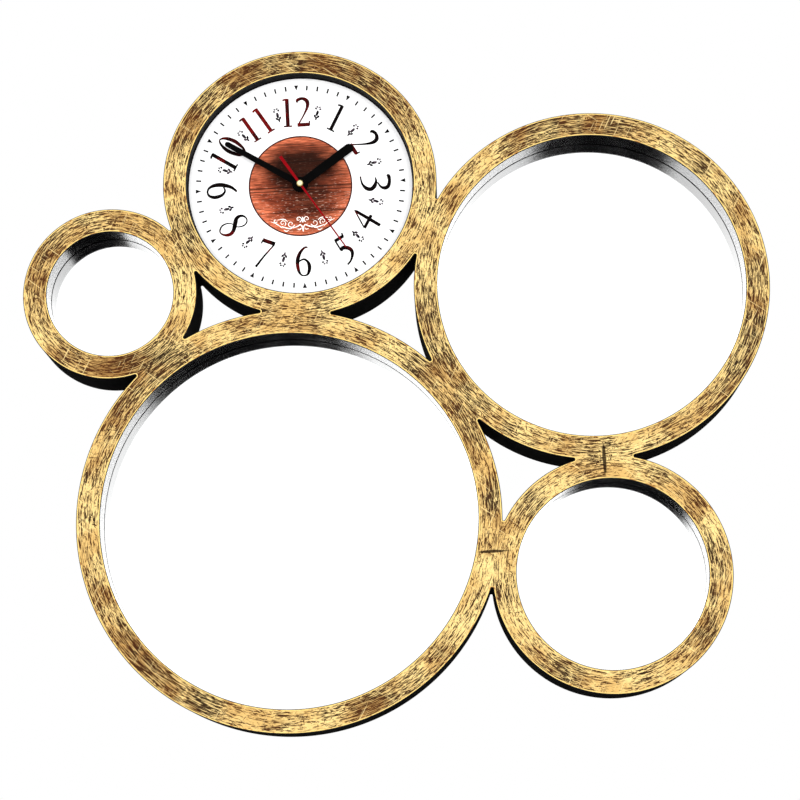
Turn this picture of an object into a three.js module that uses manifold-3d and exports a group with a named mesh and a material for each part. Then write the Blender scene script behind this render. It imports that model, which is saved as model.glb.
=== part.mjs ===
// Mirror wall clock: five merged rings moulded as one frame, four round mirrors, a dial and its movement.
// Everything is drawn on the clock's face first: x right, y up, z the height above the wall, in mm.
// The last group stands that drawing up, so the finished part has +Z up and its front towards -Y.
import * as THREE from "three";
import { mergeVertices } from "three/addons/utils/BufferGeometryUtils.js";
import Module from "manifold-3d";

const wasm = await Module();
wasm.setup();

// Frame
const frameDepth = 50;
const bandWidth = 19;
const wallThickness = 2.5;
const ringMerge = 3.3;
const bigMerge = 4.5;
const notchRadius = 1;
const clockBearing = 85.8;
const bigInner = 149.7;
const rightInner = 123.7;
const clockInner = 92.1;
const lowerInner = 75.4;
const smallInner = 51.2;
const ribThickness = 1.8;
const ribHeight = 16;

// How many screws hold each ring's board, and the bearing of the first in degrees
const bigScrews = { count: 4, first: 45 };
const rightScrews = { count: 4, first: 40 };
const clockScrews = { count: 3, first: 90 };
const lowerScrews = { count: 3, first: 30 };
const smallScrews = { count: 3, first: 100 };

// Mirrors, dial and what holds them
const fitGap = 0.3;
const mirrorSetback = 23;
const dialSetback = 11;
const mirrorThickness = 2;
const boardThickness = 3;
const printThickness = 0.5;
const seatOverlap = 2 * wallThickness - fitGap;
const bossRadius = 3;
const pilotRadius = 1.5;
const screwShankRadius = 1.2;
const screwShankLength = 9;
const screwHeadRadius = 5;
const screwHeadHeight = 1.6;

// Hangers
const hangerWidth = 12;
const hangerLength = 36;
const hangerThickness = 1.5;
const hangerScrewPitch = 26;
const hangerCorner = 3;
const hangerSetback = 1.8;
const keyholeRadius = 4.2;
const keyholeSlot = 2.2;
const keyholeSlotCorner = 2.15;
const keyholeRise = 7;
const hangerScrewHeadRadius = 2.6;
const hangerScrewSink = 0.2;

// Battery and its contacts
const batteryRadius = 7.1;
const batteryLength = 50.5;
const batteryNubRadius = 2.7;
const batteryNubLength = 1.1;
const contactThickness = 0.5;
const contactWidth = 9;
const contactClearance = 0.45;
const bayClearance = 0.45;

// Shaft, bush and nut
const washerThickness = 1;
const washerRadius = 8;
const bushOuter = 3.9;
const bushBore = 2.7;
const bushFlangeRadius = 5.2;
const bushFlangeThickness = 0.6;
const bushProud = 0.4;
const nutAcrossFlats = 10.4;
const nutThickness = 2.2;
const hourTubeOuter = 2.4;
const hourTubeBore = 1.8;
const minuteTubeOuter = 1.5;
const minuteTubeBore = 0.9;
const secondShaftRadius = 0.6;

// Hands
const hourLength = 53.7;
const hourWidth = 7.6;
const hourRootWidth = 7.2;
const hourHubRadius = 7.5;
const minuteLength = 70.8;
const minuteWidth = 4.4;
const minuteRootWidth = 5.4;
const minuteHubRadius = 5.6;
const secondLength = 65.2;
const secondTail = 28.2;
const secondTailWidth = 3;
const secondRootWidth = 2.7;
const secondMiddleWidth = 1.95;
const secondTipWidth = 0.9;
const secondMiddleShare = 0.5;
const secondNeedleShare = 0.7;
const secondHubRadius = 2.55;
const handThickness = 0.6;
const handSpacing = 1.5;
const handClearance = 0.8;
const capRadius = 2.85;
const capRim = 0.5;
const capDome = 1.3;
const hourAngle = 55.2;
const minuteAngle = 302.5;
const secondAngle = 147.6;

// Wheel train: teeth, module in mm, and the bearing from one axis to the next in degrees
const motionTeeth = 30;
const motionPinionTeeth = 8;
const hourTeeth = 32;
const cannonTeeth = 10;
const knobTeeth = 12;
const motionModule = 0.45;
const centreTeeth = 48;
const thirdPinionTeeth = 6;
const centreModule = 0.39;
const thirdTeeth = 45;
const secondPinionTeeth = 6;
const secondTeeth = 48;
const idlerPinionTeeth = 8;
const secondModule = 0.37;
const idlerTeeth = 40;
const rotorTeeth = 8;
const idlerModule = 0.3;
const addendum = 0.8;
const dedendum = 1.2;
const thirdBearing = 20;
const motionBearing = 180;
const knobBearing = 135;
const idlerBearing = 120;
const rotorBearing = 75;
const pivotRadius = 0.5;
const pivotDepth = 0.8;
const arborRadius = 0.8;
const knobArborRadius = 1.2;
const knobRadius = 4.5;
const knobHeight = 3;

// Layers of the train, from the front: each wheel's thickness, and the gaps behind the wheel in front
const wheelThickness = 1;
const pinionOverhang = 0.3;
const rootOverlap = 0.5;
const motionGap = 0.6;
const centreGap = 1.1;
const thirdGap = 1.1;
const secondGap = 0.8;
const idlerGap = 1.3;
const coverGap = 1.9;

// Movement case
const caseWall = 1.5;
const caseCorner = 4;
const partitionThickness = 1.2;
const partitionClearance = 0.53;

// Motor and circuit
const rotorRadius = 2.4;
const rotorLength = 2.2;
const rotorGap = 0.6;
const statorHole = 2.9;
const statorThickness = 1;
const statorRim = 1.4;
const statorShoulder = 0.7;
const statorLeg = 4;
const statorCore = 2;
const coilRadius = 3.1;
const coilLength = 26;
const coilClearance = 0.5;
const circuitWidth = 9;
const circuitHeight = 21;
const circuitThickness = 1;
const circuitPostRadius = 1.2;
const circuitPostInset = 2;
const crystalRadius = 1;
const crystalLength = 6;
const crystalRise = 4;

const degree = Math.PI / 180;

// Points nearer than this are one point
const pointMerge = 1e-5;

const finishes = {
  frame: { color: 0xb08d45, roughness: 0.45, metalness: 0.6 },
  mirror: { color: 0xe8ecee, roughness: 0.03, metalness: 1 },
  board: { color: 0x6b4a2c, roughness: 0.85, metalness: 0 },
  print: { color: 0xf7f5f0, roughness: 0.5, metalness: 0 },
  steel: { color: 0xb9bcc0, roughness: 0.35, metalness: 0.9 },
  brass: { color: 0xd8b860, roughness: 0.25, metalness: 0.95 },
  blackPaint: { color: 0x0b0b0c, roughness: 0.4, metalness: 0.1 },
  redPaint: { color: 0xa00d10, roughness: 0.4, metalness: 0.1 },
  casePlastic: { color: 0x17181a, roughness: 0.55, metalness: 0 },
  wheelPlastic: { color: 0xeae6d8, roughness: 0.5, metalness: 0 },
  rubber: { color: 0x1c1c1c, roughness: 0.9, metalness: 0 },
  magnet: { color: 0x4a4b50, roughness: 0.4, metalness: 0.7 },
  copper: { color: 0xb5683a, roughness: 0.35, metalness: 0.85 },
  circuit: { color: 0x1e5b35, roughness: 0.6, metalness: 0 },
  batteryJacket: { color: 0x2b2d33, roughness: 0.35, metalness: 0.4 },
};

// Steps round a circle: a disc or bore, a tube, an arbor, and a pin or screw
const discSteps = 16;
const tubeSteps = 12;
const arborSteps = 10;
const pinSteps = 8;

// Points of a regular polygon that stands for a circle
function circlePoints(radius, segments, x = 0, y = 0) {
  return Array.from({ length: segments }, (_, i) => {
    const angle = (i / segments) * 2 * Math.PI;
    return new THREE.Vector2(x + radius * Math.cos(angle), y + radius * Math.sin(angle));
  });
}

function toSolid(geometry) {
  geometry.deleteAttribute("normal");
  geometry.deleteAttribute("uv");
  const merged = mergeVertices(geometry, pointMerge);
  return new wasm.Manifold(new wasm.Mesh({
    numProp: 3,
    vertProperties: new Float32Array(merged.attributes.position.array),
    triVerts: new Uint32Array(merged.index.array),
  }));
}

// A flat outline carried from one height to another
function slab(points, low, high) {
  const shape = new THREE.Shape(points);
  const geometry = new THREE.ExtrudeGeometry(shape, { depth: high - low, bevelEnabled: false });
  return toSolid(geometry.translate(0, 0, low));
}

function disc(radius, low, high, segments = discSteps, x = 0, y = 0) {
  return slab(circlePoints(radius, segments, x, y), low, high);
}

function block(left, right, bottom, top, low, high) {
  const corners = [[left, bottom], [right, bottom], [right, top], [left, top]];
  return slab(corners.map(([x, y]) => new THREE.Vector2(x, y)), low, high);
}

// A rectangle with rounded corners, each corner drawn with a few steps
function roundedPoints(width, height, corner, x = 0, y = 0, steps = 4) {
  const points = [];
  const turns = [[1, 1], [-1, 1], [-1, -1], [1, -1]];
  turns.forEach(([signX, signY], quarter) => {
    for (let i = 0; i <= steps; i += 1) {
      const angle = (quarter + i / steps) * Math.PI / 2;
      points.push(new THREE.Vector2(
        x + signX * (width / 2 - corner) + corner * Math.cos(angle),
        y + signY * (height / 2 - corner) + corner * Math.sin(angle),
      ));
    }
  });
  return points;
}

// A profile of [radius, height] pairs turned about the z axis, closed on the axis
function turned(profile, segments) {
  const points = profile.map(([radius, height]) => new THREE.Vector2(radius, height));
  const geometry = new THREE.LatheGeometry(points, segments);
  return toSolid(geometry.rotateX(Math.PI / 2));
}

const join = (...solids) => solids.reduce((sum, solid) => sum.add(solid));
const cut = (solid, ...tools) => tools.reduce((rest, tool) => rest.subtract(tool), solid);
const polar = (radius, bearing, from = { x: 0, y: 0 }) => ({
  x: from.x + radius * Math.cos(bearing * degree),
  y: from.y + radius * Math.sin(bearing * degree),
});

const face = new THREE.Group();

function place(name, solid, finish, position = { x: 0, y: 0 }, turn = 0) {
  const mesh = solid.getMesh();
  const geometry = new THREE.BufferGeometry();
  geometry.setAttribute("position", new THREE.BufferAttribute(new Float32Array(mesh.vertProperties), 3));
  geometry.setIndex(new THREE.BufferAttribute(new Uint32Array(mesh.triVerts), 1));
  geometry.computeVertexNormals();
  const node = new THREE.Mesh(geometry, new THREE.MeshStandardMaterial(finishes[finish]));
  node.name = name;
  node.position.set(position.x, position.y, 0);
  node.rotation.z = turn;
  face.add(node);
}

// Rings. Each touches two others, so the radii and one bearing settle where they all lie.
function ring(inner, setback, screws, segments) {
  return { inner, outer: inner + bandWidth, setback, screws, segments, x: 0, y: 0 };
}

// How deep two merged rings run into each other
const merge = (a, b) => ([a, b].includes(rings.big) ? bigMerge : ringMerge);

// The centre of a ring that merges with two placed rings, left (1) or right (-1) of the way from a to b
function nestle(newRing, a, b, side) {
  const toA = a.outer + newRing.outer - merge(a, newRing);
  const toB = b.outer + newRing.outer - merge(b, newRing);
  const apart = Math.hypot(b.x - a.x, b.y - a.y);
  const along = (toA ** 2 - toB ** 2 + apart ** 2) / (2 * apart);
  const off = side * Math.sqrt(toA ** 2 - along ** 2);
  const unit = { x: (b.x - a.x) / apart, y: (b.y - a.y) / apart };
  newRing.x = a.x + along * unit.x - off * unit.y;
  newRing.y = a.y + along * unit.y + off * unit.x;
}

const rings = {
  big: ring(bigInner, mirrorSetback, bigScrews, 60),
  right: ring(rightInner, mirrorSetback, rightScrews, 52),
  clock: ring(clockInner, dialSetback, clockScrews, 44),
  lower: ring(lowerInner, mirrorSetback, lowerScrews, 36),
  small: ring(smallInner, mirrorSetback, smallScrews, 32),
};
Object.assign(rings.clock, polar(rings.big.outer + rings.clock.outer - bigMerge, clockBearing));
nestle(rings.right, rings.clock, rings.big, 1);
nestle(rings.small, rings.clock, rings.big, -1);
nestle(rings.lower, rings.right, rings.big, 1);
const neighbours = [
  ["clock", "right"], ["clock", "big"], ["clock", "small"], ["big", "small"],
  ["right", "big"], ["right", "lower"], ["big", "lower"],
];

// Both hangers' keyholes lie level with the small ring's centre, and their plates follow their ring's band
function hangerPlace(holder, side, level) {
  const reach = holder.outer - wallThickness - fitGap;
  const radius = Math.sqrt(reach ** 2 - (hangerLength / 2) ** 2) - hangerWidth / 2;
  const turn = Math.asin((level - holder.y) / radius);
  return { x: holder.x + side * radius * Math.cos(turn), y: level, turn: side * turn };
}
const hangLevel = rings.small.y;
const hangers = {
  left: hangerPlace(rings.small, -1, hangLevel),
  right: hangerPlace(rings.right, 1, hangLevel),
};

// The origin lies on the wall, midway between the two wall hooks
const origin = { x: (hangers.left.x + hangers.right.x) / 2, y: hangLevel + keyholeRise };
[...Object.values(rings), ...Object.values(hangers)].forEach((spot) => {
  spot.x -= origin.x;
  spot.y -= origin.y;
});

// Heights above the wall
const frontHeight = frameDepth;
const hangerFront = hangerSetback + hangerThickness;
const seatHeight = (spot) => frontHeight - spot.setback;
const linerThickness = (spot) => (spot === rings.clock ? printThickness : mirrorThickness);
const boardTop = (spot) => seatHeight(spot) - linerThickness(spot) - fitGap;
const boardBottom = (spot) => boardTop(spot) - boardThickness;
const discRadius = (spot) => spot.inner + seatOverlap;
const screwCircle = (spot) => discRadius(spot) + fitGap + bossRadius;
const screwStep = (spot) => 360 / spot.screws.count;
const screwBearings = (spot) => Array.from(
  { length: spot.screws.count },
  (_, i) => spot.screws.first + i * screwStep(spot),
);
const screwPlaces = (spot) => screwBearings(spot).map((bearing) => polar(screwCircle(spot), bearing, spot));
const hangerScrewPlaces = (spot) => [-90, 90].map(
  (bearing) => polar(hangerScrewPitch / 2, bearing + spot.turn / degree, spot),
);

// The rounded fillet at the two ends of the seam between merged rings
function notchFillet(a, b, side) {
  const apart = Math.hypot(b.x - a.x, b.y - a.y);
  const unit = { x: (b.x - a.x) / apart, y: (b.y - a.y) / apart };
  const toA = a.outer + notchRadius;
  const toB = b.outer + notchRadius;
  const along = (toA ** 2 - toB ** 2 + apart ** 2) / (2 * apart);
  const off = side * Math.sqrt(toA ** 2 - along ** 2);
  const centre = { x: a.x + along * unit.x - off * unit.y, y: a.y + along * unit.y + off * unit.x };
  const seam = a.outer - merge(a, b) / 2;
  const root = { x: a.x + seam * unit.x, y: a.y + seam * unit.y };
  const startAngle = Math.atan2(a.y - centre.y, a.x - centre.x);
  const endAngle = Math.atan2(b.y - centre.y, b.x - centre.x);
  const sweep = THREE.MathUtils.euclideanModulo(endAngle - startAngle + Math.PI, 2 * Math.PI) - Math.PI;
  const steps = 3;
  const arc = Array.from({ length: steps + 1 }, (_, i) => {
    const angle = startAngle + (sweep * i) / steps;
    const x = centre.x + notchRadius * Math.cos(angle);
    const y = centre.y + notchRadius * Math.sin(angle);
    return new THREE.Vector2(x, y);
  });
  return slab([new THREE.Vector2(root.x, root.y), ...arc], 0, frontHeight);
}

function screwBoss(spot, radius, low) {
  const top = frontHeight - wallThickness / 2;
  return disc(radius, low, top, arborSteps, spot.x, spot.y);
}

function pilotHole(spot, low) {
  return disc(pilotRadius, low - fitGap, low + screwShankLength + fitGap, pinSteps, spot.x, spot.y);
}

// A web across the channel, from wall to wall
function rib(spot, bearing) {
  const inside = spot.inner + wallThickness / 2;
  const outside = spot.outer - wallThickness / 2;
  const top = frontHeight - wallThickness / 2;
  const low = Math.max(top - ribHeight, seatHeight(spot) + fitGap);
  const web = block(inside, outside, -ribThickness / 2, ribThickness / 2, low, top);
  return web.rotate([0, 0, bearing]).translate([spot.x, spot.y, 0]);
}

// Ribs stand midway between the screws
const ribBearings = (spot) => screwBearings(spot).map((bearing) => bearing + screwStep(spot) / 2);

// What one ring takes out of the moulding: the channel, the seat for its glass or dial, and the hole
function ringHollows(spot) {
  const { x, y, segments } = spot;
  const channelTop = frontHeight - wallThickness;
  const channel = cut(
    disc(spot.outer - wallThickness, -fitGap, channelTop, segments, x, y),
    disc(spot.inner + wallThickness, -1, frontHeight, segments, x, y),
  );
  const seat = disc(discRadius(spot) + fitGap, -fitGap, seatHeight(spot) + fitGap, segments, x, y);
  const hole = disc(spot.inner, -1, frontHeight + 1, segments, x, y);
  return [channel, seat, hole];
}

function frameSolid() {
  const all = Object.values(rings);
  const outsides = all.map((spot) => disc(spot.outer, 0, frontHeight, spot.segments, spot.x, spot.y));
  const fillets = neighbours.flatMap(
    ([a, b]) => [1, -1].map((side) => notchFillet(rings[a], rings[b], side)),
  );
  const body = join(...outsides, ...fillets);
  const shell = cut(body, ...all.flatMap(ringHollows));
  const bolts = all.flatMap((spot) => screwPlaces(spot).map((at) => ({ at, low: boardBottom(spot) })));
  const posts = Object.values(hangers).flatMap(
    (spot) => hangerScrewPlaces(spot).map((at) => ({ at, low: hangerFront + fitGap })),
  );
  const ribs = all.flatMap((spot) => ribBearings(spot).map((bearing) => rib(spot, bearing)));
  const added = [...bolts, ...posts];
  const filled = join(shell, ...ribs, ...added.map(({ at, low }) => screwBoss(at, bossRadius, low)));
  return cut(filled, ...added.map(({ at, low }) => pilotHole(at, low)));
}

// A washer-head screw driven from the back, with its head's underside at a height
function screwSolid(seat) {
  const tip = seat + screwShankLength;
  const shoulder = screwHeadHeight / 2;
  return turned([
    [0, seat - screwHeadHeight],
    [screwHeadRadius - 2 * shoulder, seat - screwHeadHeight],
    [screwHeadRadius, seat - shoulder],
    [screwHeadRadius, seat],
    [screwShankRadius, seat],
    [screwShankRadius, tip - screwShankRadius],
    [0, tip],
  ], pinSteps);
}

// A countersunk screw whose flat head lies just below the hanger plate's wall side
function hangerScrewSolid() {
  const headTop = hangerSetback + hangerScrewSink;
  const cone = hangerScrewHeadRadius - screwShankRadius;
  const tip = headTop + screwShankLength;
  return turned([
    [0, headTop],
    [hangerScrewHeadRadius, headTop],
    [screwShankRadius, headTop + cone],
    [screwShankRadius, tip - screwShankRadius],
    [0, tip],
  ], pinSteps);
}

// The hanger plate's hole for it: the same cone with clearance all round
function countersink() {
  const mouth = hangerScrewHeadRadius + fitGap + hangerScrewSink;
  const depth = mouth - pilotRadius;
  return turned([
    [0, hangerSetback - fitGap],
    [mouth, hangerSetback - fitGap],
    [mouth, hangerSetback],
    [pilotRadius, hangerSetback + depth],
    [pilotRadius, hangerFront + depth],
    [0, hangerFront + depth],
  ], pinSteps);
}

// The keyhole stays upright, whichever way the plate follows its band
function hangerSolid(spot) {
  const plate = slab(roundedPoints(hangerWidth, hangerLength, hangerCorner), hangerSetback, hangerFront);
  const slotLength = 2 * keyholeSlot + keyholeRise;
  const slot = roundedPoints(2 * keyholeSlot, slotLength, keyholeSlotCorner, 0, keyholeRise / 2);
  const local = { x: 0, y: 0, turn: spot.turn };
  return cut(
    plate.rotate([0, 0, spot.turn / degree]),
    disc(keyholeRadius, 0, frontHeight),
    slab(slot, 0, frontHeight),
    ...hangerScrewPlaces(local).map((at) => countersink().translate([at.x, at.y, 0])),
  );
}

// Where the movement stands: heights are worked out from the dial board backwards
const dialRing = rings.clock;
const caseFront = boardBottom(dialRing) - washerThickness - 2 * fitGap;
const behind = (depth) => caseFront - depth;
const dialFace = seatHeight(dialRing);
const nutTop = dialFace + fitGap + nutThickness;
const bushTop = nutTop + bushProud;
const handHeights = {
  hour: bushTop + handClearance,
  minute: bushTop + handClearance + handSpacing,
  second: bushTop + handClearance + 2 * handSpacing,
};
const boardHole = bushOuter + fitGap;

function dialDisc(low, high) {
  return cut(
    disc(discRadius(dialRing), low, high, dialRing.segments),
    disc(boardHole, low - 1, high + 1),
  );
}

// Gear outlines: pointed teeth, with the tips and roots either side of the pitch circle
function gearPoints(teeth, module, phase) {
  const pitchRadius = (teeth * module) / 2;
  return Array.from({ length: 2 * teeth }, (_, i) => {
    const radius = i % 2 === 0 ? pitchRadius + addendum * module : pitchRadius - dedendum * module;
    const angle = phase + (i * Math.PI) / teeth;
    return new THREE.Vector2(radius * Math.cos(angle), radius * Math.sin(angle));
  });
}

function gear(teeth, module, phase, frontDepth, thickness) {
  return slab(gearPoints(teeth, module, phase), behind(frontDepth + thickness), behind(frontDepth));
}

// The phase that puts a driven gear's gap where the driving gear's tooth points
function meshPhase(driverTeeth, driverPhase, bearing, drivenTeeth) {
  const line = bearing * degree;
  return line + Math.PI + Math.PI / drivenTeeth - ((driverPhase - line) * driverTeeth) / drivenTeeth;
}

// A pinion that meshes with the wheel in one layer and runs back into its own wheel's layer
function pinion(teeth, module, phase, meshDepth, wheelDepth) {
  const start = meshDepth - pinionOverhang;
  return gear(teeth, module, phase, start, wheelDepth - start + rootOverlap);
}

function arbor(radius, frontDepth, backDepth, segments = arborSteps, at = { x: 0, y: 0 }) {
  return disc(radius, behind(backDepth), behind(frontDepth), segments, at.x, at.y);
}

// Depths behind the movement's front, where each layer starts
const hourWheelDepth = caseWall + fitGap + bushFlangeThickness + fitGap;
const motionDepth = hourWheelDepth + wheelThickness + motionGap;
const centreDepth = motionDepth + wheelThickness + centreGap;
const thirdDepth = centreDepth + wheelThickness + thirdGap;
const secondDepth = thirdDepth + wheelThickness + secondGap;
const idlerDepth = secondDepth + wheelThickness + idlerGap;
const coverDepth = idlerDepth + wheelThickness + coverGap;
const caseDepth = coverDepth + caseWall;
const magnetDepth = idlerDepth - rotorGap - rotorLength;
const statorDepth = magnetDepth + (rotorLength - statorThickness) / 2;
const crystalDepth = coverDepth - fitGap - crystalRadius;
const circuitDepth = crystalDepth - crystalRadius - fitGap - circuitThickness;

const pinionLength = wheelThickness + 2 * pinionOverhang;
const frontPivot = caseWall - pivotDepth + fitGap;
const backPivot = coverDepth + pivotDepth - fitGap;
const pivotRoot = coverDepth - fitGap - rootOverlap;
const centreDistance = (teethA, teethB, module) => ((teethA + teethB) * module) / 2;
const thirdDistance = centreDistance(centreTeeth, thirdPinionTeeth, centreModule);
const thirdModule = (2 * thirdDistance) / (thirdTeeth + secondPinionTeeth);
const axes = { shaft: { x: 0, y: 0 } };
axes.third = polar(thirdDistance, thirdBearing);
axes.motion = polar(centreDistance(cannonTeeth, motionTeeth, motionModule), motionBearing);
axes.knob = polar(centreDistance(motionTeeth, knobTeeth, motionModule), knobBearing, axes.motion);
axes.idler = polar(centreDistance(secondTeeth, idlerPinionTeeth, secondModule), idlerBearing);
axes.rotor = polar(centreDistance(idlerTeeth, rotorTeeth, idlerModule), rotorBearing, axes.idler);
const hourModule = (2 * Math.hypot(axes.motion.x, axes.motion.y)) / (hourTeeth + motionPinionTeeth);

// Phases follow the train from the seconds wheel outwards
const phases = { secondPinion: 0, second: 0, thirdPinion: 0, cannon: 0, motionPinion: 0, idler: 0 };
phases.third = meshPhase(secondPinionTeeth, phases.secondPinion, thirdBearing, thirdTeeth);
phases.centre = meshPhase(thirdPinionTeeth, phases.thirdPinion, thirdBearing + 180, centreTeeth);
phases.motion = meshPhase(cannonTeeth, phases.cannon, motionBearing, motionTeeth);
phases.hour = meshPhase(motionPinionTeeth, phases.motionPinion, motionBearing + 180, hourTeeth);
phases.knob = meshPhase(motionTeeth, phases.motion, knobBearing, knobTeeth);
phases.idlerPinion = meshPhase(secondTeeth, phases.second, idlerBearing, idlerPinionTeeth);
phases.rotor = meshPhase(idlerTeeth, phases.idler, rotorBearing, rotorTeeth);

function hourWheel() {
  return cut(
    join(
      gear(hourTeeth, hourModule, phases.hour, hourWheelDepth, wheelThickness),
      disc(hourTubeOuter, behind(hourWheelDepth + rootOverlap), handHeights.hour + handThickness),
    ),
    disc(hourTubeBore, behind(motionDepth), frontHeight),
  );
}

function centreWheel() {
  return cut(
    join(
      gear(centreTeeth, centreModule, phases.centre, centreDepth, wheelThickness),
      gear(cannonTeeth, motionModule, phases.cannon, motionDepth - pinionOverhang, pinionLength),
      disc(minuteTubeOuter, behind(centreDepth + rootOverlap), handHeights.minute + handThickness, tubeSteps),
    ),
    disc(minuteTubeBore, behind(thirdDepth), frontHeight, tubeSteps),
  );
}

function secondWheel() {
  const shaftTop = handHeights.second + handThickness / 2;
  return join(
    gear(secondTeeth, secondModule, phases.second, secondDepth, wheelThickness),
    pinion(secondPinionTeeth, thirdModule, phases.secondPinion, thirdDepth, secondDepth),
    disc(secondShaftRadius, behind(secondDepth + rootOverlap), shaftTop, arborSteps),
    arbor(arborRadius, secondDepth + rootOverlap, coverDepth - fitGap),
    arbor(pivotRadius, pivotRoot, backPivot, pinSteps),
  );
}

function thirdWheel() {
  return join(
    gear(thirdTeeth, thirdModule, phases.third, thirdDepth, wheelThickness),
    pinion(thirdPinionTeeth, centreModule, phases.thirdPinion, centreDepth, thirdDepth),
    arbor(pivotRadius, frontPivot, centreDepth, pinSteps),
    arbor(arborRadius, thirdDepth + rootOverlap, coverDepth - fitGap),
    arbor(pivotRadius, pivotRoot, backPivot, pinSteps),
  );
}

function motionWheel() {
  return join(
    gear(motionTeeth, motionModule, phases.motion, motionDepth, wheelThickness),
    pinion(motionPinionTeeth, hourModule, phases.motionPinion, hourWheelDepth, motionDepth),
    arbor(pivotRadius, frontPivot, motionDepth, pinSteps),
  );
}

function idlerWheel() {
  return join(
    gear(idlerTeeth, idlerModule, phases.idler, idlerDepth, wheelThickness),
    pinion(idlerPinionTeeth, secondModule, phases.idlerPinion, secondDepth, idlerDepth),
    arbor(pivotRadius, frontPivot, secondDepth, pinSteps),
    arbor(pivotRadius, idlerDepth, backPivot, pinSteps),
  );
}

function rotorSolid() {
  return join(
    arbor(rotorRadius, magnetDepth, magnetDepth + rotorLength, tubeSteps),
    gear(rotorTeeth, idlerModule, phases.rotor, idlerDepth - pinionOverhang, pinionLength),
    arbor(pivotRadius, frontPivot, backPivot, pinSteps),
  );
}

function knobSolid() {
  const knobStart = caseDepth + fitGap;
  return join(
    gear(knobTeeth, motionModule, phases.knob, motionDepth, wheelThickness),
    arbor(pivotRadius, frontPivot, motionDepth + rootOverlap, pinSteps),
    arbor(knobArborRadius, motionDepth + rootOverlap, knobStart + rootOverlap),
    arbor(knobRadius, knobStart, knobStart + knobHeight, discSteps),
  );
}

// The case is as wide as the battery and its contacts, and as tall as from the battery bay up to the coil
const insideHalf = batteryLength / 2 + contactClearance + contactThickness + fitGap;
const statorShelf = axes.rotor.y + statorHole + statorShoulder;
const coilMiddle = statorShelf + coilClearance + coilRadius;
const insideTop = coilMiddle + coilRadius + fitGap;
const centreTipRadius = (centreTeeth * centreModule) / 2 + addendum * centreModule;
const partitionTop = -centreTipRadius - partitionClearance;
const bayTop = partitionTop - partitionThickness;
const bayMiddle = bayTop - bayClearance - batteryRadius;
const bayBottom = bayMiddle - batteryRadius - bayClearance;

// The blind holes that the pivots turn in, in the case's front wall and in the cover
function frontPivotHole(at) {
  return arbor(pivotRadius + fitGap, caseWall - pivotDepth, caseWall + 1, pinSteps, at);
}

function backPivotHole(at) {
  return arbor(pivotRadius + fitGap, coverDepth - 1, coverDepth + pivotDepth, pinSteps, at);
}

function caseSolid() {
  const bay = (bottom, top) => (
    block(-insideHalf, insideHalf, bottom, top, behind(caseDepth + 1), behind(caseWall))
  );
  const width = 2 * (insideHalf + caseWall);
  const height = insideTop - bayBottom + 2 * caseWall;
  const middle = (insideTop + bayBottom) / 2;
  return cut(
    slab(roundedPoints(width, height, caseCorner, 0, middle), behind(caseDepth), behind(0)),
    bay(partitionTop, insideTop),
    bay(bayBottom, bayTop),
    disc(boardHole, behind(caseWall + 1), behind(-1)),
    ...["third", "motion", "knob", "idler", "rotor"].map((name) => frontPivotHole(axes[name])),
  );
}

function coverSolid() {
  const side = insideHalf - fitGap;
  return cut(
    block(-side, side, partitionTop + fitGap, insideTop - fitGap, behind(caseDepth), behind(coverDepth)),
    ...["shaft", "third", "idler", "rotor"].map((name) => backPivotHole(axes[name])),
    arbor(knobArborRadius + fitGap, coverDepth - 1, caseDepth + 1, arborSteps, axes.knob),
  );
}

function bushSolid() {
  return cut(
    join(
      disc(bushOuter, behind(caseWall + fitGap + bushFlangeThickness / 2), bushTop),
      disc(bushFlangeRadius, behind(caseWall + fitGap + bushFlangeThickness), behind(caseWall + fitGap)),
    ),
    disc(bushBore, behind(caseDepth), frontHeight),
  );
}

function washerSolid() {
  const top = behind(0) + fitGap + washerThickness;
  return cut(disc(washerRadius, behind(0) + fitGap, top), disc(boardHole, 0, frontHeight));
}

function nutSolid() {
  const cornerRadius = nutAcrossFlats / Math.sqrt(3);
  return cut(disc(cornerRadius, dialFace + fitGap, nutTop, 6), disc(boardHole, 0, frontHeight));
}

// The stator is a loop: its lower bar goes round the rotor and its upper bar through the coil
const coreHalf = statorCore / 2;
const statorHalf = coilLength / 2 + fitGap + statorLeg;
const statorBase = axes.rotor.y - statorHole - statorRim;

function statorSolid() {
  const low = behind(statorDepth + statorThickness);
  const high = behind(statorDepth);
  const windowHalf = statorHalf - statorLeg;
  return cut(
    block(-statorHalf, statorHalf, statorBase, coilMiddle + coreHalf, low, high),
    block(-windowHalf, windowHalf, statorShelf, coilMiddle - coreHalf, low - 1, high + 1),
    disc(statorHole, low - 1, high + 1, discSteps, axes.rotor.x, axes.rotor.y),
  );
}

function coilSolid() {
  const middle = behind(statorDepth + statorThickness / 2);
  const winding = disc(coilRadius, -coilLength / 2, coilLength / 2, tubeSteps).rotate([0, 90, 0]);
  const boreY = coreHalf + fitGap;
  const boreZ = statorThickness / 2 + fitGap;
  const bore = block(-coilLength, coilLength, -boreY, boreY, -boreZ, boreZ);
  return cut(winding, bore).translate([0, coilMiddle, middle]);
}

// The circuit board stands off the cover by a post, right of the train, and the crystal lies behind it
const circuitLeft = insideHalf - fitGap - circuitWidth;
const circuitBottom = partitionTop + 2 * fitGap;

function circuitSolid() {
  const right = circuitLeft + circuitWidth;
  const top = circuitBottom + circuitHeight;
  const low = behind(circuitDepth + circuitThickness);
  const postAt = { x: right - circuitPostInset, y: top - circuitPostInset };
  return join(
    block(circuitLeft, right, circuitBottom, top, low, behind(circuitDepth)),
    arbor(circuitPostRadius, circuitDepth + circuitThickness / 2, coverDepth - fitGap, pinSteps, postAt),
  );
}

function crystalSolid() {
  return disc(crystalRadius, 0, crystalLength, arborSteps)
    .rotate([-90, 0, 0])
    .translate([circuitLeft + circuitWidth / 2, circuitBottom + crystalRise, behind(crystalDepth)]);
}

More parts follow.
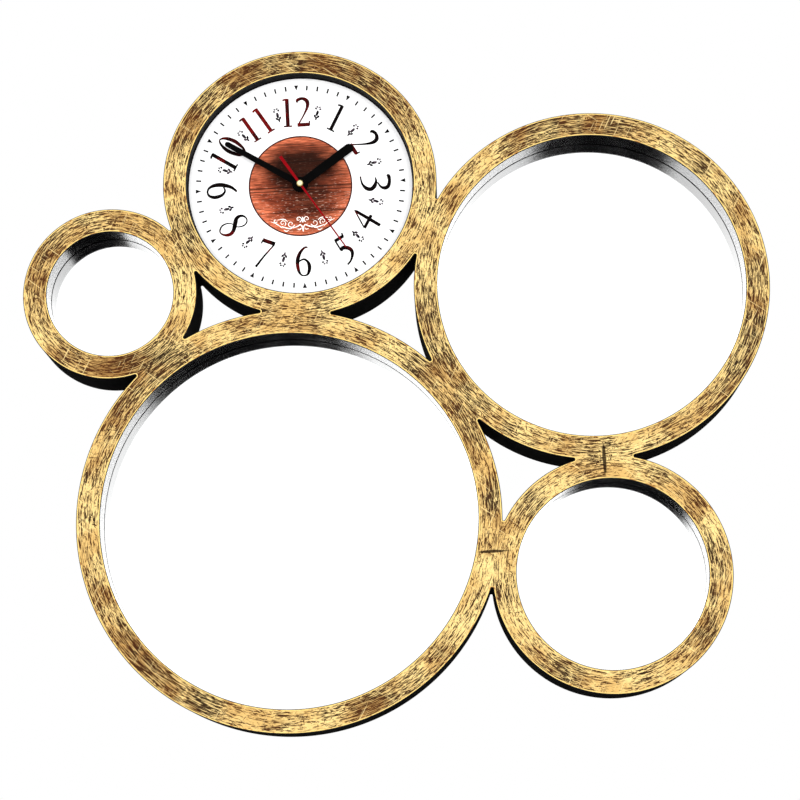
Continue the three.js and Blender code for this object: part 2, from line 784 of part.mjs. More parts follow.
const batteryDepth = caseWall + fitGap + batteryRadius;

function batterySolid() {
  const can = disc(batteryRadius, -batteryLength / 2, batteryLength / 2 - batteryNubLength, 20);
  const nub = disc(batteryNubRadius, 0, batteryLength / 2, arborSteps);
  return join(can, nub).rotate([0, 90, 0]).translate([0, bayMiddle, behind(batteryDepth)]);
}

// A spring plate at one end of the battery bay
function contactSolid(side) {
  const outside = insideHalf - fitGap;
  const [left, right] = [side * outside, side * (outside - contactThickness)].sort((a, b) => a - b);
  const half = contactWidth / 2;
  const low = behind(coverDepth);
  return block(left, right, bayMiddle - half, bayMiddle + half, low, behind(caseWall + fitGap));
}

// Hands are drawn pointing up and turned to the time shown
function handTurn(angle) {
  return -angle * degree;
}

function roundEndedPoints(baseWidth, tipWidth, length) {
  const half = tipWidth / 2;
  const steps = 6;
  const tip = Array.from({ length: steps + 1 }, (_, i) => {
    const angle = (i / steps) * Math.PI;
    return new THREE.Vector2(half * Math.cos(angle), length - half + half * Math.sin(angle));
  });
  return [new THREE.Vector2(-baseWidth / 2, 0), new THREE.Vector2(baseWidth / 2, 0), ...tip];
}

function bladeSolid(points, hubRadius, bore, low) {
  const high = low + handThickness;
  return cut(
    join(slab(points, low, high), disc(hubRadius, low, high, 20)),
    disc(bore + fitGap, low - 1, high + 1),
  );
}

function hourHand() {
  const points = roundEndedPoints(hourRootWidth, hourWidth, hourLength);
  return bladeSolid(points, hourHubRadius, hourTubeOuter, handHeights.hour);
}

function minuteHand() {
  const points = roundEndedPoints(minuteRootWidth, minuteWidth, minuteLength);
  return bladeSolid(points, minuteHubRadius, minuteTubeOuter, handHeights.minute);
}

function secondHand() {
  const widths = [
    [secondTailWidth, -secondTail],
    [secondRootWidth, 0],
    [secondMiddleWidth, secondLength * secondMiddleShare],
    [secondTipWidth, secondLength * secondNeedleShare],
    [secondTipWidth, secondLength],
  ];
  const rightSide = widths.map(([width, y]) => new THREE.Vector2(width / 2, y));
  const leftSide = widths.map(([width, y]) => new THREE.Vector2(-width / 2, y)).reverse();
  return bladeSolid([...rightSide, ...leftSide], secondHubRadius, secondShaftRadius, handHeights.second);
}

// The cap in front of the second hand: a short rim under a dome, a quarter ellipse turned about the shaft
function capSolid() {
  const base = handHeights.second + handThickness + fitGap;
  const steps = 3;
  const dome = Array.from({ length: steps + 1 }, (_, i) => {
    const angle = (i / steps) * Math.PI / 2;
    return [capRadius * Math.cos(angle), base + capRim + capDome * Math.sin(angle)];
  });
  dome[steps][0] = 0;
  return turned([[0, base], [capRadius, base], ...dome], discSteps);
}

// Assembly
place("frame", frameSolid(), "frame");
for (const [name, spot] of Object.entries(rings)) {
  if (spot !== dialRing) {
    const seat = seatHeight(spot);
    const glass = disc(discRadius(spot), seat - mirrorThickness, seat, spot.segments);
    place(`mirror_${name}`, glass, "mirror", spot);
    const panel = disc(discRadius(spot), boardBottom(spot), boardTop(spot), spot.segments);
    place(`board_${name}`, panel, "board", spot);
  }
  screwPlaces(spot).forEach((at, i) => {
    place(`screw_${name}_${i + 1}`, screwSolid(boardBottom(spot) - fitGap), "steel", at);
  });
}
place("dial_print", dialDisc(dialFace - printThickness, dialFace), "print", dialRing);
place("dial_board", dialDisc(boardBottom(dialRing), boardTop(dialRing)), "board", dialRing);

for (const [side, spot] of Object.entries(hangers)) {
  place(`hanger_${side}`, hangerSolid(spot), "steel", spot);
  hangerScrewPlaces(spot).forEach((at, i) => {
    place(`hanger_${side}_screw_${i + 1}`, hangerScrewSolid(), "steel", at);
  });
}

place("movement_case", caseSolid(), "casePlastic", dialRing);
place("movement_cover", coverSolid(), "casePlastic", dialRing);
place("threaded_bush", bushSolid(), "brass", dialRing);
place("rubber_washer", washerSolid(), "rubber", dialRing);
place("hex_nut", nutSolid(), "brass", dialRing);
place("stator", statorSolid(), "steel", dialRing);
place("coil", coilSolid(), "copper", dialRing);
place("circuit_board", circuitSolid(), "circuit", dialRing);
place("quartz_crystal", crystalSolid(), "steel", dialRing);
place("battery", batterySolid(), "batteryJacket", dialRing);
place("contact_positive", contactSolid(1), "steel", dialRing);
place("contact_negative", contactSolid(-1), "steel", dialRing);

const onShaft = (axis) => ({ x: dialRing.x + axis.x, y: dialRing.y + axis.y });
place("hour_wheel", hourWheel(), "wheelPlastic", dialRing);
place("centre_wheel", centreWheel(), "wheelPlastic", dialRing);
place("seconds_wheel", secondWheel(), "wheelPlastic", dialRing);
place("third_wheel", thirdWheel(), "wheelPlastic", onShaft(axes.third));
place("motion_wheel", motionWheel(), "wheelPlastic", onShaft(axes.motion));
place("intermediate_wheel", idlerWheel(), "wheelPlastic", onShaft(axes.idler));
place("rotor", rotorSolid(), "magnet", onShaft(axes.rotor));
place("setting_knob", knobSolid(), "wheelPlastic", onShaft(axes.knob));

place("hour_hand", hourHand(), "blackPaint", dialRing, handTurn(hourAngle));
place("minute_hand", minuteHand(), "blackPaint", dialRing, handTurn(minuteAngle));
place("second_hand", secondHand(), "redPaint", dialRing, handTurn(secondAngle));
place("second_hand_cap", capSolid(), "brass", dialRing);

const clock = new THREE.Group();
face.rotation.x = Math.PI / 2;
clock.add(face);

export default clock;
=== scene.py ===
"""Mirror wall clock: one moulding of five merged rings, four round mirrors and a dial with three hands.

The clock hangs on the plane y = 0 and faces -y. Sizes are in millimetres on the plan (x to the right, z up) with
heights counted from the wall towards the room, so a point (x, z, height) stands at (x, -height, z) in space.
"""

import sys

import logging
import math
from dataclasses import dataclass, field
from enum import Enum, IntEnum
from typing import Iterable, Sequence

import bmesh
import bpy
import numpy as np
from mathutils import Matrix, Vector
from mathutils.geometry import delaunay_2d_cdt


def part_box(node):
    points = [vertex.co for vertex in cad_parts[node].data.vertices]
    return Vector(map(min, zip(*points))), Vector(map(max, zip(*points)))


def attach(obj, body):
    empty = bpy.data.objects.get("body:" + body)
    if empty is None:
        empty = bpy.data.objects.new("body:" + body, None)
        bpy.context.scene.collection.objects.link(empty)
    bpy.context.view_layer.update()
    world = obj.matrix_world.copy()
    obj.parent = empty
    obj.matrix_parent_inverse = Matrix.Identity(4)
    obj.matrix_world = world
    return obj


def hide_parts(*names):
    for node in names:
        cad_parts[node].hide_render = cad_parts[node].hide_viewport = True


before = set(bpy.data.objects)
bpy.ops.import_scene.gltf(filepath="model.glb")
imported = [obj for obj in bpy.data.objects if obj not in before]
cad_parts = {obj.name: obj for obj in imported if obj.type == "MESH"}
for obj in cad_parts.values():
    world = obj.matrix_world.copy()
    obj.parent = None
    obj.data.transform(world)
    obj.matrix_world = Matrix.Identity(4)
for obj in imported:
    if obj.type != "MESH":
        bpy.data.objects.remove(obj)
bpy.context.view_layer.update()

log = logging.getLogger("mirror_wall_clock")

MM = 0.001
WELD = 2e-6
CDT_LIMIT = 1e-7
FULL_TURN = 2 * math.pi
QUARTER_TURN = math.pi / 2
Array = np.ndarray
Pair = tuple[float, float]
Triple = tuple[float, float, float]
Colour = Triple
Material = bpy.types.Material
Object = bpy.types.Object
Socket = bpy.types.NodeSocket


# Plan shapes


@dataclass
class Loop:
    """A closed line on the plan, with the direction out of the material at each point."""

    points: Array
    outward: Array

    def moved(self, offset: float) -> Array:
        """The line shifted by an offset along its outward directions: p + offset * n."""
        return self.points + offset * self.outward


def all_round(steps: int) -> Array:
    """The angles of a full turn in equal steps, in radians."""
    return np.arange(steps) * FULL_TURN / steps


def directions(angles: Array) -> Array:
    """Unit directions (cos a, sin a) for an array of angles in radians."""
    return np.stack([np.cos(angles), np.sin(angles)], axis=-1)


def turn_plan(points: Array, angle: float) -> Array:
    """Plan points turned about the origin, counter-clockwise for a positive angle in radians."""
    c, s = math.cos(angle), math.sin(angle)
    return points @ np.array([[c, s], [-s, c]])


def circle_loop(radius: float, centre: Array, steps: int, hole: bool = False) -> Loop:
    """A circle round a centre, as the rim of a disc or of a hole in it."""
    out = directions(all_round(steps))
    return Loop(centre + radius * out, -out if hole else out)


def drawn_loop(points: Array, hole: bool = False) -> Loop:
    """A loop through counter-clockwise points, with outward directions square to the chord between neighbours.

    Args:
        points: the corners in order, as an array of (x, z) pairs.
        hole: whether the material lies outside the line.

    Returns:
        The loop. The direction at each point is (dz, -dx) of the line from the point before to the point after.
    """
    chord = np.roll(points, -1, axis=0) - np.roll(points, 1, axis=0)
    out = np.stack([chord[:, 1], -chord[:, 0]], axis=-1)
    out /= np.linalg.norm(out, axis=1, keepdims=True)
    return Loop(points, -out if hole else out)


def rounded_box(width: float, height: float, corner: float, steps: int = 6) -> Array:
    """The outline of a rectangle round the origin whose corners are quarter circles, counter-clockwise.

    Args:
        width: its size along x.
        height: its size along z.
        corner: the radius of its corners.
        steps: how many points a corner has.

    Returns:
        The points: at each corner, sign * (half size - corner) + corner * (cos a, sin a).
    """
    quarter = directions(np.linspace(0, QUARTER_TURN, steps))
    reach = np.array([width / 2 - corner, height / 2 - corner])
    signs = np.array([[1, 1], [-1, 1], [-1, -1], [1, -1]])
    return np.concatenate(
        [sign * reach + corner * turn_plan(quarter, i * QUARTER_TURN) for i, sign in enumerate(signs)]
    )


def inside(points: Array, loops: Iterable[Array]) -> Array:
    """Whether each point lies inside an odd number of closed loops.

    Counts the edges that a ray towards +x crosses: an edge from a to b is crossed where z lies between a and b and
    x is left of a + (z - a.z) / (b.z - a.z) * (b.x - a.x).

    Args:
        points: the (x, z) points to test.
        loops: the closed lines.

    Returns:
        True or False for each point.
    """
    crossings = np.zeros(len(points), int)
    x, z = points[:, :1], points[:, 1:]
    for loop in loops:
        a, b = loop, np.roll(loop, -1, axis=0)
        rise = np.where(b[:, 1] == a[:, 1], 1.0, b[:, 1] - a[:, 1])
        spans = (a[:, 1] > z) != (b[:, 1] > z)
        where = a[:, 0] + (z - a[:, 1]) / rise * (b[:, 0] - a[:, 0])
        crossings += (spans & (x < where)).sum(axis=1)
    return crossings % 2 == 1


def triangulate(loops: list[Array]) -> tuple[Array, Array]:
    """Triangles over the region that lies inside an odd number of the loops.

    Args:
        loops: closed lines of (x, z) points that don't cross.

    Returns:
        The points, and triangles that index them.
    """
    order = np.arange(sum(map(len, loops)))
    following = [np.roll(part, -1) for part in np.split(order, np.cumsum([len(loop) for loop in loops[:-1]]))]
    edges = np.column_stack([order, np.concatenate(following)])
    made = delaunay_2d_cdt(np.concatenate(loops).tolist(), edges.tolist(), [], 0, CDT_LIMIT)
    corners, triangles = np.array(made[0]), np.array(made[2])
    return corners, triangles[inside(corners[triangles].mean(axis=1), loops)]


# Surfaces


def lift(flat: Array, height: Array | float) -> Array:
    """Plan points at heights above the wall, in space: (x, -height, z)."""
    tall = np.broadcast_to(height, flat.shape[:-1])
    return np.stack([flat[..., 0], -tall, flat[..., 1]], axis=-1)


@dataclass
class Skin:
    """Patches of surface on the way to one closed piece: points in millimetres, faces and their finish numbers."""

    points: list[Array] = field(default_factory=list)
    faces: list[Array] = field(default_factory=list)
    finish: list[Array] = field(default_factory=list)
    count: int = 0

    def add(self, points: Array, faces: Array, finish: int) -> None:
        """Takes a patch in.

        Args:
            points: places in space, in millimetres.
            faces: rows of numbers that index the points.
            finish: the number of the patch's finish.
        """
        self.points.append(points.reshape(-1, 3))
        self.faces.append(faces + self.count)
        self.finish.append(np.full(len(faces), finish))
        self.count += len(self.points[-1])

    def grid(self, points: Array, finish: int = 0) -> None:
        """Adds a sheet of rows by columns of points, whose columns close on themselves.

        Args:
            points: places in space, as an array of rows by columns by three.
            finish: the number of the sheet's finish.
        """
        rows, columns = points.shape[:2]
        i, j = np.meshgrid(np.arange(rows - 1), np.arange(columns), indexing="ij")
        k = (j + 1) % columns
        corners = [i * columns + j, i * columns + k, (i + 1) * columns + k, (i + 1) * columns + j]
        self.add(points, np.stack(corners, axis=-1).reshape(-1, 4), finish)

    def wall(self, loop: Loop, profile: Array, finish: int = 0) -> None:
        """Carries a profile of (offset, height) along a loop: p + offset * n at each height."""
        flat = loop.points[None] + profile[:, None, :1] * loop.outward[None]
        self.grid(lift(flat, profile[:, 1:]), finish)

    def turned(self, profile: Array, centre: Array, steps: int, finish: int = 0) -> None:
        """Turns a profile of (radius, height) about an axis square to the wall: c + r (cos a, sin a)."""
        flat = centre + profile[:, None, :1] * directions(all_round(steps))[None]
        self.grid(lift(flat, profile[:, 1:]), finish)

    def fill(self, loops: list[Array], height: float, finish: int = 0) -> None:
        """Covers the region between loops with triangles at one height."""
        points, triangles = triangulate(loops)
        self.add(lift(points, height), triangles, finish)

    def plate(self, loops: list[Loop], profile: Array, finish: int = 0) -> None:
        """A plate with any holes: a wall along every loop, and a flat cover at each end of it.

        Args:
            loops: its outline and holes.
            profile: the walls' (offset, height) points, from the front to the back.
            finish: the number of the plate's finish.
        """
        for loop in loops:
            self.wall(loop, profile, finish)
        for offset, height in (profile[0], profile[-1]):
            self.fill([loop.moved(offset) for loop in loops], height, finish)


def rounded_edge(radius: float, top: float, steps: int = 4) -> Array:
    """The profile of a rounded front edge: a quarter circle from (-r, top) to (0, top - r)."""
    a = np.linspace(0, QUARTER_TURN, steps + 1)
    return np.stack([radius * (np.sin(a) - 1), top - radius * (1 - np.cos(a))], axis=-1)


def slab_profile(low: float, high: float, edge: float) -> Array:
    """The profile of a plate's side between two heights, rounded by the same radius in front and behind."""
    front = rounded_edge(edge, high, 3)
    return np.concatenate([front, front[::-1] * [1, -1] + [0, low + high]])


def cross_recess(plan: Array, width: float, reach: float, slopes: Pair) -> Array:
    """How deep a cross recess is at each point, from 0 on the head's face to 1 on the recess's floor.

    With x and z the distances from the axes, it is the product of (width - min(x, z)) / slope and
    (reach - max(x, z)) / slope, each kept between 0 and 1.

    Args:
        plan: points from the screw's axis.
        width: half the width of an arm.
        reach: half the length of an arm.
        slopes: how wide an arm's sides and its ends are.

    Returns:
        The share of the full depth at each point.
    """
    away = np.abs(plan)
    across = np.clip((width - away.min(axis=-1)) / slopes[0], 0, 1)
    return across * np.clip((reach - away.max(axis=-1)) / slopes[1], 0, 1)


def keep_flats_flat(mesh: bpy.types.Mesh, ratio: float = 12.0) -> None:
    """Marks an edge sharp where the larger of its two faces has over ratio times the smaller one's area.

    The narrow faces of a rounded edge then don't bend the shading of the broad face beside them.

    Args:
        mesh: the mesh to mark.
        ratio: how many times larger the larger face has to be.
    """
    areas = np.empty(len(mesh.polygons), np.float32)
    mesh.polygons.foreach_get("area", areas)
    sides = np.empty(len(mesh.polygons), np.int32)
    mesh.polygons.foreach_get("loop_total", sides)
    edges = np.empty(len(mesh.loops), np.int32)
    mesh.loops.foreach_get("edge_index", edges)
    beside = np.repeat(areas, sides)
    most, least = np.zeros(len(mesh.edges), np.float32), np.full(len(mesh.edges), np.inf, np.float32)
    np.maximum.at(most, edges, beside)
    np.minimum.at(least, edges, beside)
    sharp = np.empty(len(mesh.edges), bool)
    mesh.edges.foreach_get("use_edge_sharp", sharp)
    mesh.edges.foreach_set("use_edge_sharp", sharp | (most > ratio * least))


def put_in_scene(name: str, data: bpy.types.ID) -> Object:
    """A new object at the origin.

    Args:
        name: its name.
        data: the mesh, light or camera that it holds.

    Returns:
        The object.
    """
    made = bpy.data.objects.new(name, data)
    bpy.context.scene.collection.objects.link(made)
    return made


def make_piece(name: str, skin: Skin, finishes: Sequence[Material], smooth_below: float = 30) -> Object:
    """Makes one closed mesh object from a skin, with its faces turned outwards.

    Args:
        name: the piece's name.
        skin: its patches, whose finish numbers index the finishes.
        finishes: the materials.
        smooth_below: edges with a smaller angle in degrees are shaded as rounded.

    Returns:
        The object at the origin, with its place in its mesh.
    """
    faces = [row for patch in skin.faces for row in patch.tolist()]
    mesh = bpy.data.meshes.new(name)
    mesh.from_pydata((np.concatenate(skin.points) * MM).tolist(), [], faces)
    mesh.polygons.foreach_set("material_index", np.concatenate(skin.finish).astype(np.int32))
    work = bmesh.new()
    work.from_mesh(mesh)
    bmesh.ops.remove_doubles(work, verts=work.verts, dist=WELD)
    bmesh.ops.dissolve_degenerate(work, edges=work.edges, dist=WELD / 10)
    bmesh.ops.recalc_face_normals(work, faces=work.faces)
    work.to_mesh(mesh)
    work.free()
    mesh.polygons.foreach_set("use_smooth", np.ones(len(mesh.polygons), bool))
    mesh.set_sharp_from_angle(angle=math.radians(smooth_below))
    keep_flats_flat(mesh)
    for material in finishes:
        mesh.materials.append(material)
    return put_in_scene(name, mesh)


def settle(piece: Object, body: str, slot: str, *stands_for: str) -> Object:
    """Puts a finished piece in its place in the clock, and reports it.

    Args:
        piece: the object.
        body: the body that carries it.
        slot: its material slot, not used.
        stands_for: the CAD nodes that it replaces, none for print.

    Returns:
        The piece.
    """
    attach(piece, body)
    if stands_for:
        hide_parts(*stands_for)
    log.info("%s: %d faces, on %s", piece.name, len(piece.data.polygons), body)
    return piece


def box_of(node: str) -> tuple[Array, Array]:
    """A CAD node's lowest and highest corners as (x, z, height) in millimetres.

    Args:
        node: the node's name.

    Returns:
        The two corners.
    """
    low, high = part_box(node)
    near = np.array([low.x, low.z, -high.y]) / MM
    far = np.array([high.x, high.z, -low.y]) / MM
    return near, far


def middle_of(node: str) -> Array:
    """The middle of a CAD node on the plan, as (x, z) in millimetres."""
    near, far = box_of(node)
    return (near[:2] + far[:2]) / 2


def heights_of(node: str) -> Pair:
    """The heights of a CAD node's back and front, in millimetres."""
    near, far = box_of(node)
    return float(near[2]), float(far[2])


def radius_of(node: str) -> float:
    """The radius of a round CAD node, from its width in millimetres."""
    near, far = box_of(node)
    return float(far[0] - near[0]) / 2


# Shader nodes


class Bench:
    """Lays out the shader nodes of one tree."""

    def __init__(self, tree: bpy.types.NodeTree, output: str) -> None:
        """Clears the tree and gives it an output node.

        Args:
            tree: the nodes of a material or of the world.
            output: the output node's type.
        """
        self.nodes, self.links = tree.nodes, tree.links
        self.nodes.clear()
        self.output = self.nodes.new(output)

    def set(self, socket: Socket, value: object) -> None:
        """Joins a socket to another socket, or gives it a value.

        Args:
            socket: the input to set.
            value: an output to join it to, a colour or a number.
        """
        if isinstance(value, Socket):
            self.links.new(value, socket)
        elif isinstance(value, tuple) and len(value) == 3 and socket.type == "RGBA":
            socket.default_value = (*value, 1.0)
        else:
            socket.default_value = value

    def node(self, kind: str, inputs: dict | None = None, **settings: object) -> bpy.types.Node:
        """Adds a node.

        Args:
            kind: the node's type.
            inputs: sockets or values by the inputs' names or numbers.
            settings: the node's own settings.

        Returns:
            The node.
        """
        made = self.nodes.new(kind)
        for key, value in settings.items():
            setattr(made, key, value)
        for key, value in (inputs or {}).items():
            self.set(made.inputs[key], value)
        return made

    def close(self, shader: bpy.types.Node) -> None:
        """Joins the last shader to the output node."""
        self.links.new(shader.outputs[0], self.output.inputs["Surface"])

    def vector(self, operation: str, inputs: dict) -> bpy.types.Node:
        """A node for one sum on vectors."""
        return self.node("ShaderNodeVectorMath", inputs, operation=operation)

    def math(self, operation: str, a: object, b: object = 0.0, clamp: bool = False) -> Socket:
        """One sum on one or two values."""
        return self.node("ShaderNodeMath", {0: a, 1: b}, operation=operation, use_clamp=clamp).outputs[0]

    def carried(self, operation: str, values: Iterable[object]) -> Socket:
        """One operation carried on over all the values.

        Args:
            operation: the sum to do.
            values: sockets or numbers, taken from the left.

        Returns:
            The result.
        """
        total, *others = values
        for value in others:
            total = self.math(operation, total, value)
        return total

    def add(self, *values: object) -> Socket:
        """The sum of the values."""
        return self.carried("ADD", values)

    def times(self, *values: object) -> Socket:
        """The product of the values."""
        return self.carried("MULTIPLY", values)

    def most(self, *values: object) -> Socket:
        """The largest of the values."""
        return self.carried("MAXIMUM", values)

    def less(self, a: object, b: object) -> Socket:
        """The first value less the second."""
        return self.math("SUBTRACT", a, b)

    def between(self, value: Socket, low: float, high: float, start: float = 0.0, end: float = 1.0) -> Socket:
        """A smooth step of a value between two limits."""
        inputs = {"Value": value, "From Min": low, "From Max": high, "To Min": start, "To Max": end}
        return self.node("ShaderNodeMapRange", inputs, interpolation_type="SMOOTHSTEP").outputs["Result"]

    def mix(self, share: object, a: object, b: object) -> Socket:
        """Two colours mixed."""
        return self.node("ShaderNodeMix", {0: share, 6: a, 7: b}, data_type="RGBA").outputs[2]

    def position(self) -> Socket:
        """The place on the object, in metres."""
        return self.node("ShaderNodeTexCoord").outputs["Object"]

    def placed(self, at: Sequence[float], turn: float = 0.0, scale: Sequence[float] = (1, 1, 1)) -> Socket:
        """Position seen from a point, turned on the plan by degrees and measured in given lengths.

        Args:
            at: the point (x, z) in millimetres.
            turn: how far the pattern is turned counter-clockwise on the plan.
            scale: the lengths in millimetres that count as one along x, y and z.

        Returns:
            The mapped position.
        """
        inputs = {
            "Vector": self.position(),
            "Location": (at[0] * MM, 0.0, at[1] * MM),
            "Rotation": (0.0, -math.radians(turn), 0.0),
            "Scale": tuple(MM * s for s in scale),
        }
        return self.node("ShaderNodeMapping", inputs, vector_type="TEXTURE").outputs["Vector"]

    def on_plan(self, at: Sequence[float], across: float = 1.0, up: float = 1.0) -> Socket:
        """Position on the plan alone, seen from a point and measured in two lengths in millimetres."""
        return self.placed(at, 0.0, (across, 1e6, up))

    def away_from(self, at: Sequence[float], across: float = 1.0, up: float = 1.0) -> Socket:
        """How far a place lies from a point on the plan, with one length for x and one for z."""
        return self.vector("LENGTH", {0: self.on_plan(at, across, up)}).outputs["Value"]

    def noise(
        self, vector: Socket, scale: float = 1.0, detail: float = 2.0, rough: float = 0.5, warp: float = 0.0
    ) -> Socket:
        """A cloudy value around 0.5."""
        inputs = {"Vector": vector, "Scale": scale, "Detail": detail, "Roughness": rough, "Distortion": warp}
        return self.node("ShaderNodeTexNoise", inputs).outputs["Fac"]

    def patches(
        self, size: Sequence[float], detail: float = 2.0, at: Sequence[float] = (0, 0), turn: float = 0.0,
        rough: float = 0.5,
    ) -> Socket:
        """Noise in patches of a size in millimetres along x, y and z, turned on the plan by degrees."""
        return self.noise(self.placed(at, turn, size), 1.0, detail, rough)

    def streaks(
        self, turn: float, length: float, width: float, at: Sequence[float] = (0, 0), detail: float = 2.0,
        warp: float = 0.0,
    ) -> Socket:
        """Noise drawn out into strokes of a length and width in millimetres, lying at an angle on the plan."""
        return self.noise(self.placed(at, turn, (length, width, width)), 1.0, detail, 0.5, warp)

    def bump(self, height: Socket, depth: float, strength: float = 1.0) -> Socket:
        """The normal of a relief of a depth in millimetres."""
        inputs = {"Height": height, "Distance": depth * MM, "Strength": strength}
        return self.node("ShaderNodeBump", inputs).outputs["Normal"]


class FinishBench(Bench):
    """Lays out the shader nodes of one finish."""

    def __init__(self, name: str) -> None:
        """Starts a material with only its output node.

        Args:
            name: the material's name.
        """
        self.material = bpy.data.materials.new(name)
        self.material.use_nodes = True
        super().__init__(self.material.node_tree, "ShaderNodeOutputMaterial")

    def finish(self, **inputs: object) -> Material:
        """Closes the bench with the surface shader.

        Args:
            inputs: sockets or values of the surface shader, with underscores for the spaces in their names.

        Returns:
            The material.
        """
        named = {key.replace("_", " "): value for key, value in inputs.items()}
        self.close(self.node("ShaderNodeBsdfPrincipled", named))
        return self.material


def srgb(red: int, green: int, blue: int) -> Colour:
    """A screen colour from 0 to 255 as linear light: ((c + 0.055) / 1.055) ** 2.4, or c / 12.92 for the darkest."""
    return tuple(((c / 255 + 0.055) / 1.055) ** 2.4 if c > 10 else c / 255 / 12.92 for c in (red, green, blue))


def dimmed(colour: Colour) -> Colour:
    """A colour at four fifths of its light."""
    return tuple(part * 0.8 for part in colour)


# Finishes

HATCH_LAYERS = (0, 45, 90, 135)
LAYER_GAP = 45
SEAMS = ((158, -164, 1.6, 16.0), (66, -232, 14.0, 1.3), (-108, -28, 6.0, 1.4))


@dataclass(frozen=True)
class AntiqueGold:
    """Brushed antique gold on the moulding's front: short dark strokes in patches over light gold, with scratches.

    A band is a ring's (x, z, middle radius), and a seam is (x, z, half width, half length). A line is
    (angle, length, where its noise starts) for the scratches and (length, width) for the strokes.
    """

    bands: tuple[Triple, ...]
    seams: tuple[tuple[float, float, float, float], ...]
    light: Colour = srgb(231, 200, 132)
    deep: Colour = srgb(206, 168, 102)
    wash: Colour = srgb(132, 84, 36)
    dark: Colour = srgb(20, 8, 6)
    umber: Colour = srgb(58, 27, 10)
    scratch: Colour = srgb(248, 220, 154)
    stroke: Pair = (8.0, 1.35)
    band_strokes: tuple[Pair, ...] = ((9.0, 1.2), (5.0, 0.85))
    band_ink: float = 0.125
    scratches: tuple[tuple[int, int, int], ...] = ((-38, 22, 3), (62, 18, 30))
    cloud_size: Sequence[float] = (30, 30, 30)
    cloud_share: float = 0.34
    bare: float = -0.32
    hatched: float = 0.22
    along: float = -0.22
    washed: float = 0.62

    def band_place(self, bench: Bench) -> Socket:
        """Place along and across the nearest ring's band: (R cos a, r, R sin a), in millimetres.

        R is the middle radius of the ring, and a and r are the angle and distance from its axis. A step along the
        band moves the place round a circle, so no seam shows where the angle starts again.

        Args:
            bench: the gold's bench.

        Returns:
            The place.
        """
        chosen = best = None
        for x, z, middle in self.bands:
            plan = bench.on_plan((x, z))
            unit = bench.vector("NORMALIZE", {0: plan}).outputs["Vector"]
            round_band = bench.vector("SCALE", {0: unit, "Scale": middle}).outputs["Vector"]
            away = bench.vector("LENGTH", {0: plan}).outputs["Value"]
            across = bench.node("ShaderNodeCombineXYZ", {"Y": away}).outputs["Vector"]
            place = bench.vector("ADD", {0: round_band, 1: across}).outputs["Vector"]
            off = bench.math("ABSOLUTE", bench.less(away, middle))
            if chosen is None:
                chosen, best = place, off
                continue
            nearer = bench.math("LESS_THAN", off, best)
            chosen = bench.node("ShaderNodeMix", {0: nearer, 4: chosen, 5: place}, data_type="VECTOR").outputs[1]
            best = bench.math("MINIMUM", off, best)
        return chosen

    def band_noise(self, bench: Bench, place: Socket, length: float, width: float) -> Socket:
        """Noise drawn out along the band, with a length and width in millimetres."""
        sized = bench.vector("MULTIPLY", {0: place, 1: (1 / length, 1 / width, 1 / length)}).outputs["Vector"]
        return bench.noise(sized, 1.0, 2.0, 0.6, 0.25)

    def band_layer(self, bench: Bench, place: Socket, size: Pair, density: Socket) -> Socket:
        """Strokes that run along the band: stroke noise + share of cloud noise + density, cut off near a half.

        Args:
            bench: the gold's bench.
            place: the place along and across the band.
            size: the strokes' length and width in millimetres.
            density: what is added, from a patch's weight.

        Returns:
            How much ink there is, from 0 to 1.
        """
        fine = self.band_noise(bench, place, *size)
        cloud = bench.patches((26, 26, 26), 2, size)
        return bench.between(bench.add(fine, bench.times(cloud, self.cloud_share), density), 0.482, 0.535)

    def hatch_layer(self, bench: Bench, turn: float, share: Socket) -> Socket:
        """Strokes at an angle: stroke noise + share of cloud noise + bare + hatched * share, cut off near a half.

        Args:
            bench: the gold's bench.
            turn: the strokes' angle in degrees.
            share: how dense they are here, from the hatching attribute.

        Returns:
            How much ink there is, from 0 to 1.
        """
        fine = bench.streaks(turn, *self.stroke, (3 * turn, 10), 2.0, 0.2)
        cloud = bench.patches((34, 16, 16), 2, (turn, 2 * turn), turn)
        density = bench.add(bench.times(share, self.hatched), self.bare)
        return bench.between(bench.add(fine, bench.times(cloud, self.cloud_share), density), 0.492, 0.545)

    def base(self, bench: Bench, clouds: Socket, place: Socket, weight: Socket) -> Socket:
        """Light and deep gold in clouds, under a brown wash that gathers where the strokes are dense.

        Args:
            bench: the gold's bench.
            clouds: the noise of the clouds.
            place: the place along and across the band.
            weight: the hatching's full weight here.

        Returns:
            The colour under the strokes.
        """
        bare = bench.mix(bench.between(clouds, 0.38, 0.64), self.light, self.deep)
        veil = bench.times(self.band_noise(bench, place, 14.0, 1.6), 0.8)
        gathered = bench.add(weight, bench.times(bench.less(clouds, 0.5), 3.0), veil)
        return bench.mix(bench.between(gathered, 0.75, 1.9, 0.0, self.washed), bare, self.wash)

    def seam_marks(self, bench: Bench) -> Socket:
        """Short dark lines across the band, with ragged edges.

        Args:
            bench: the gold's bench.

        Returns:
            How dark each place is, from 0 to 1.
        """
        marks = []
        for x, z, width, length in self.seams:
            ragged = bench.times(bench.patches((4, 4, 4), 2, (x, z)), 0.8)
            away = bench.add(bench.away_from((x, z), width, length), ragged)
            marks.append(bench.between(away, 1.0, 1.5, 0.92, 0.0))
        return bench.most(*marks)

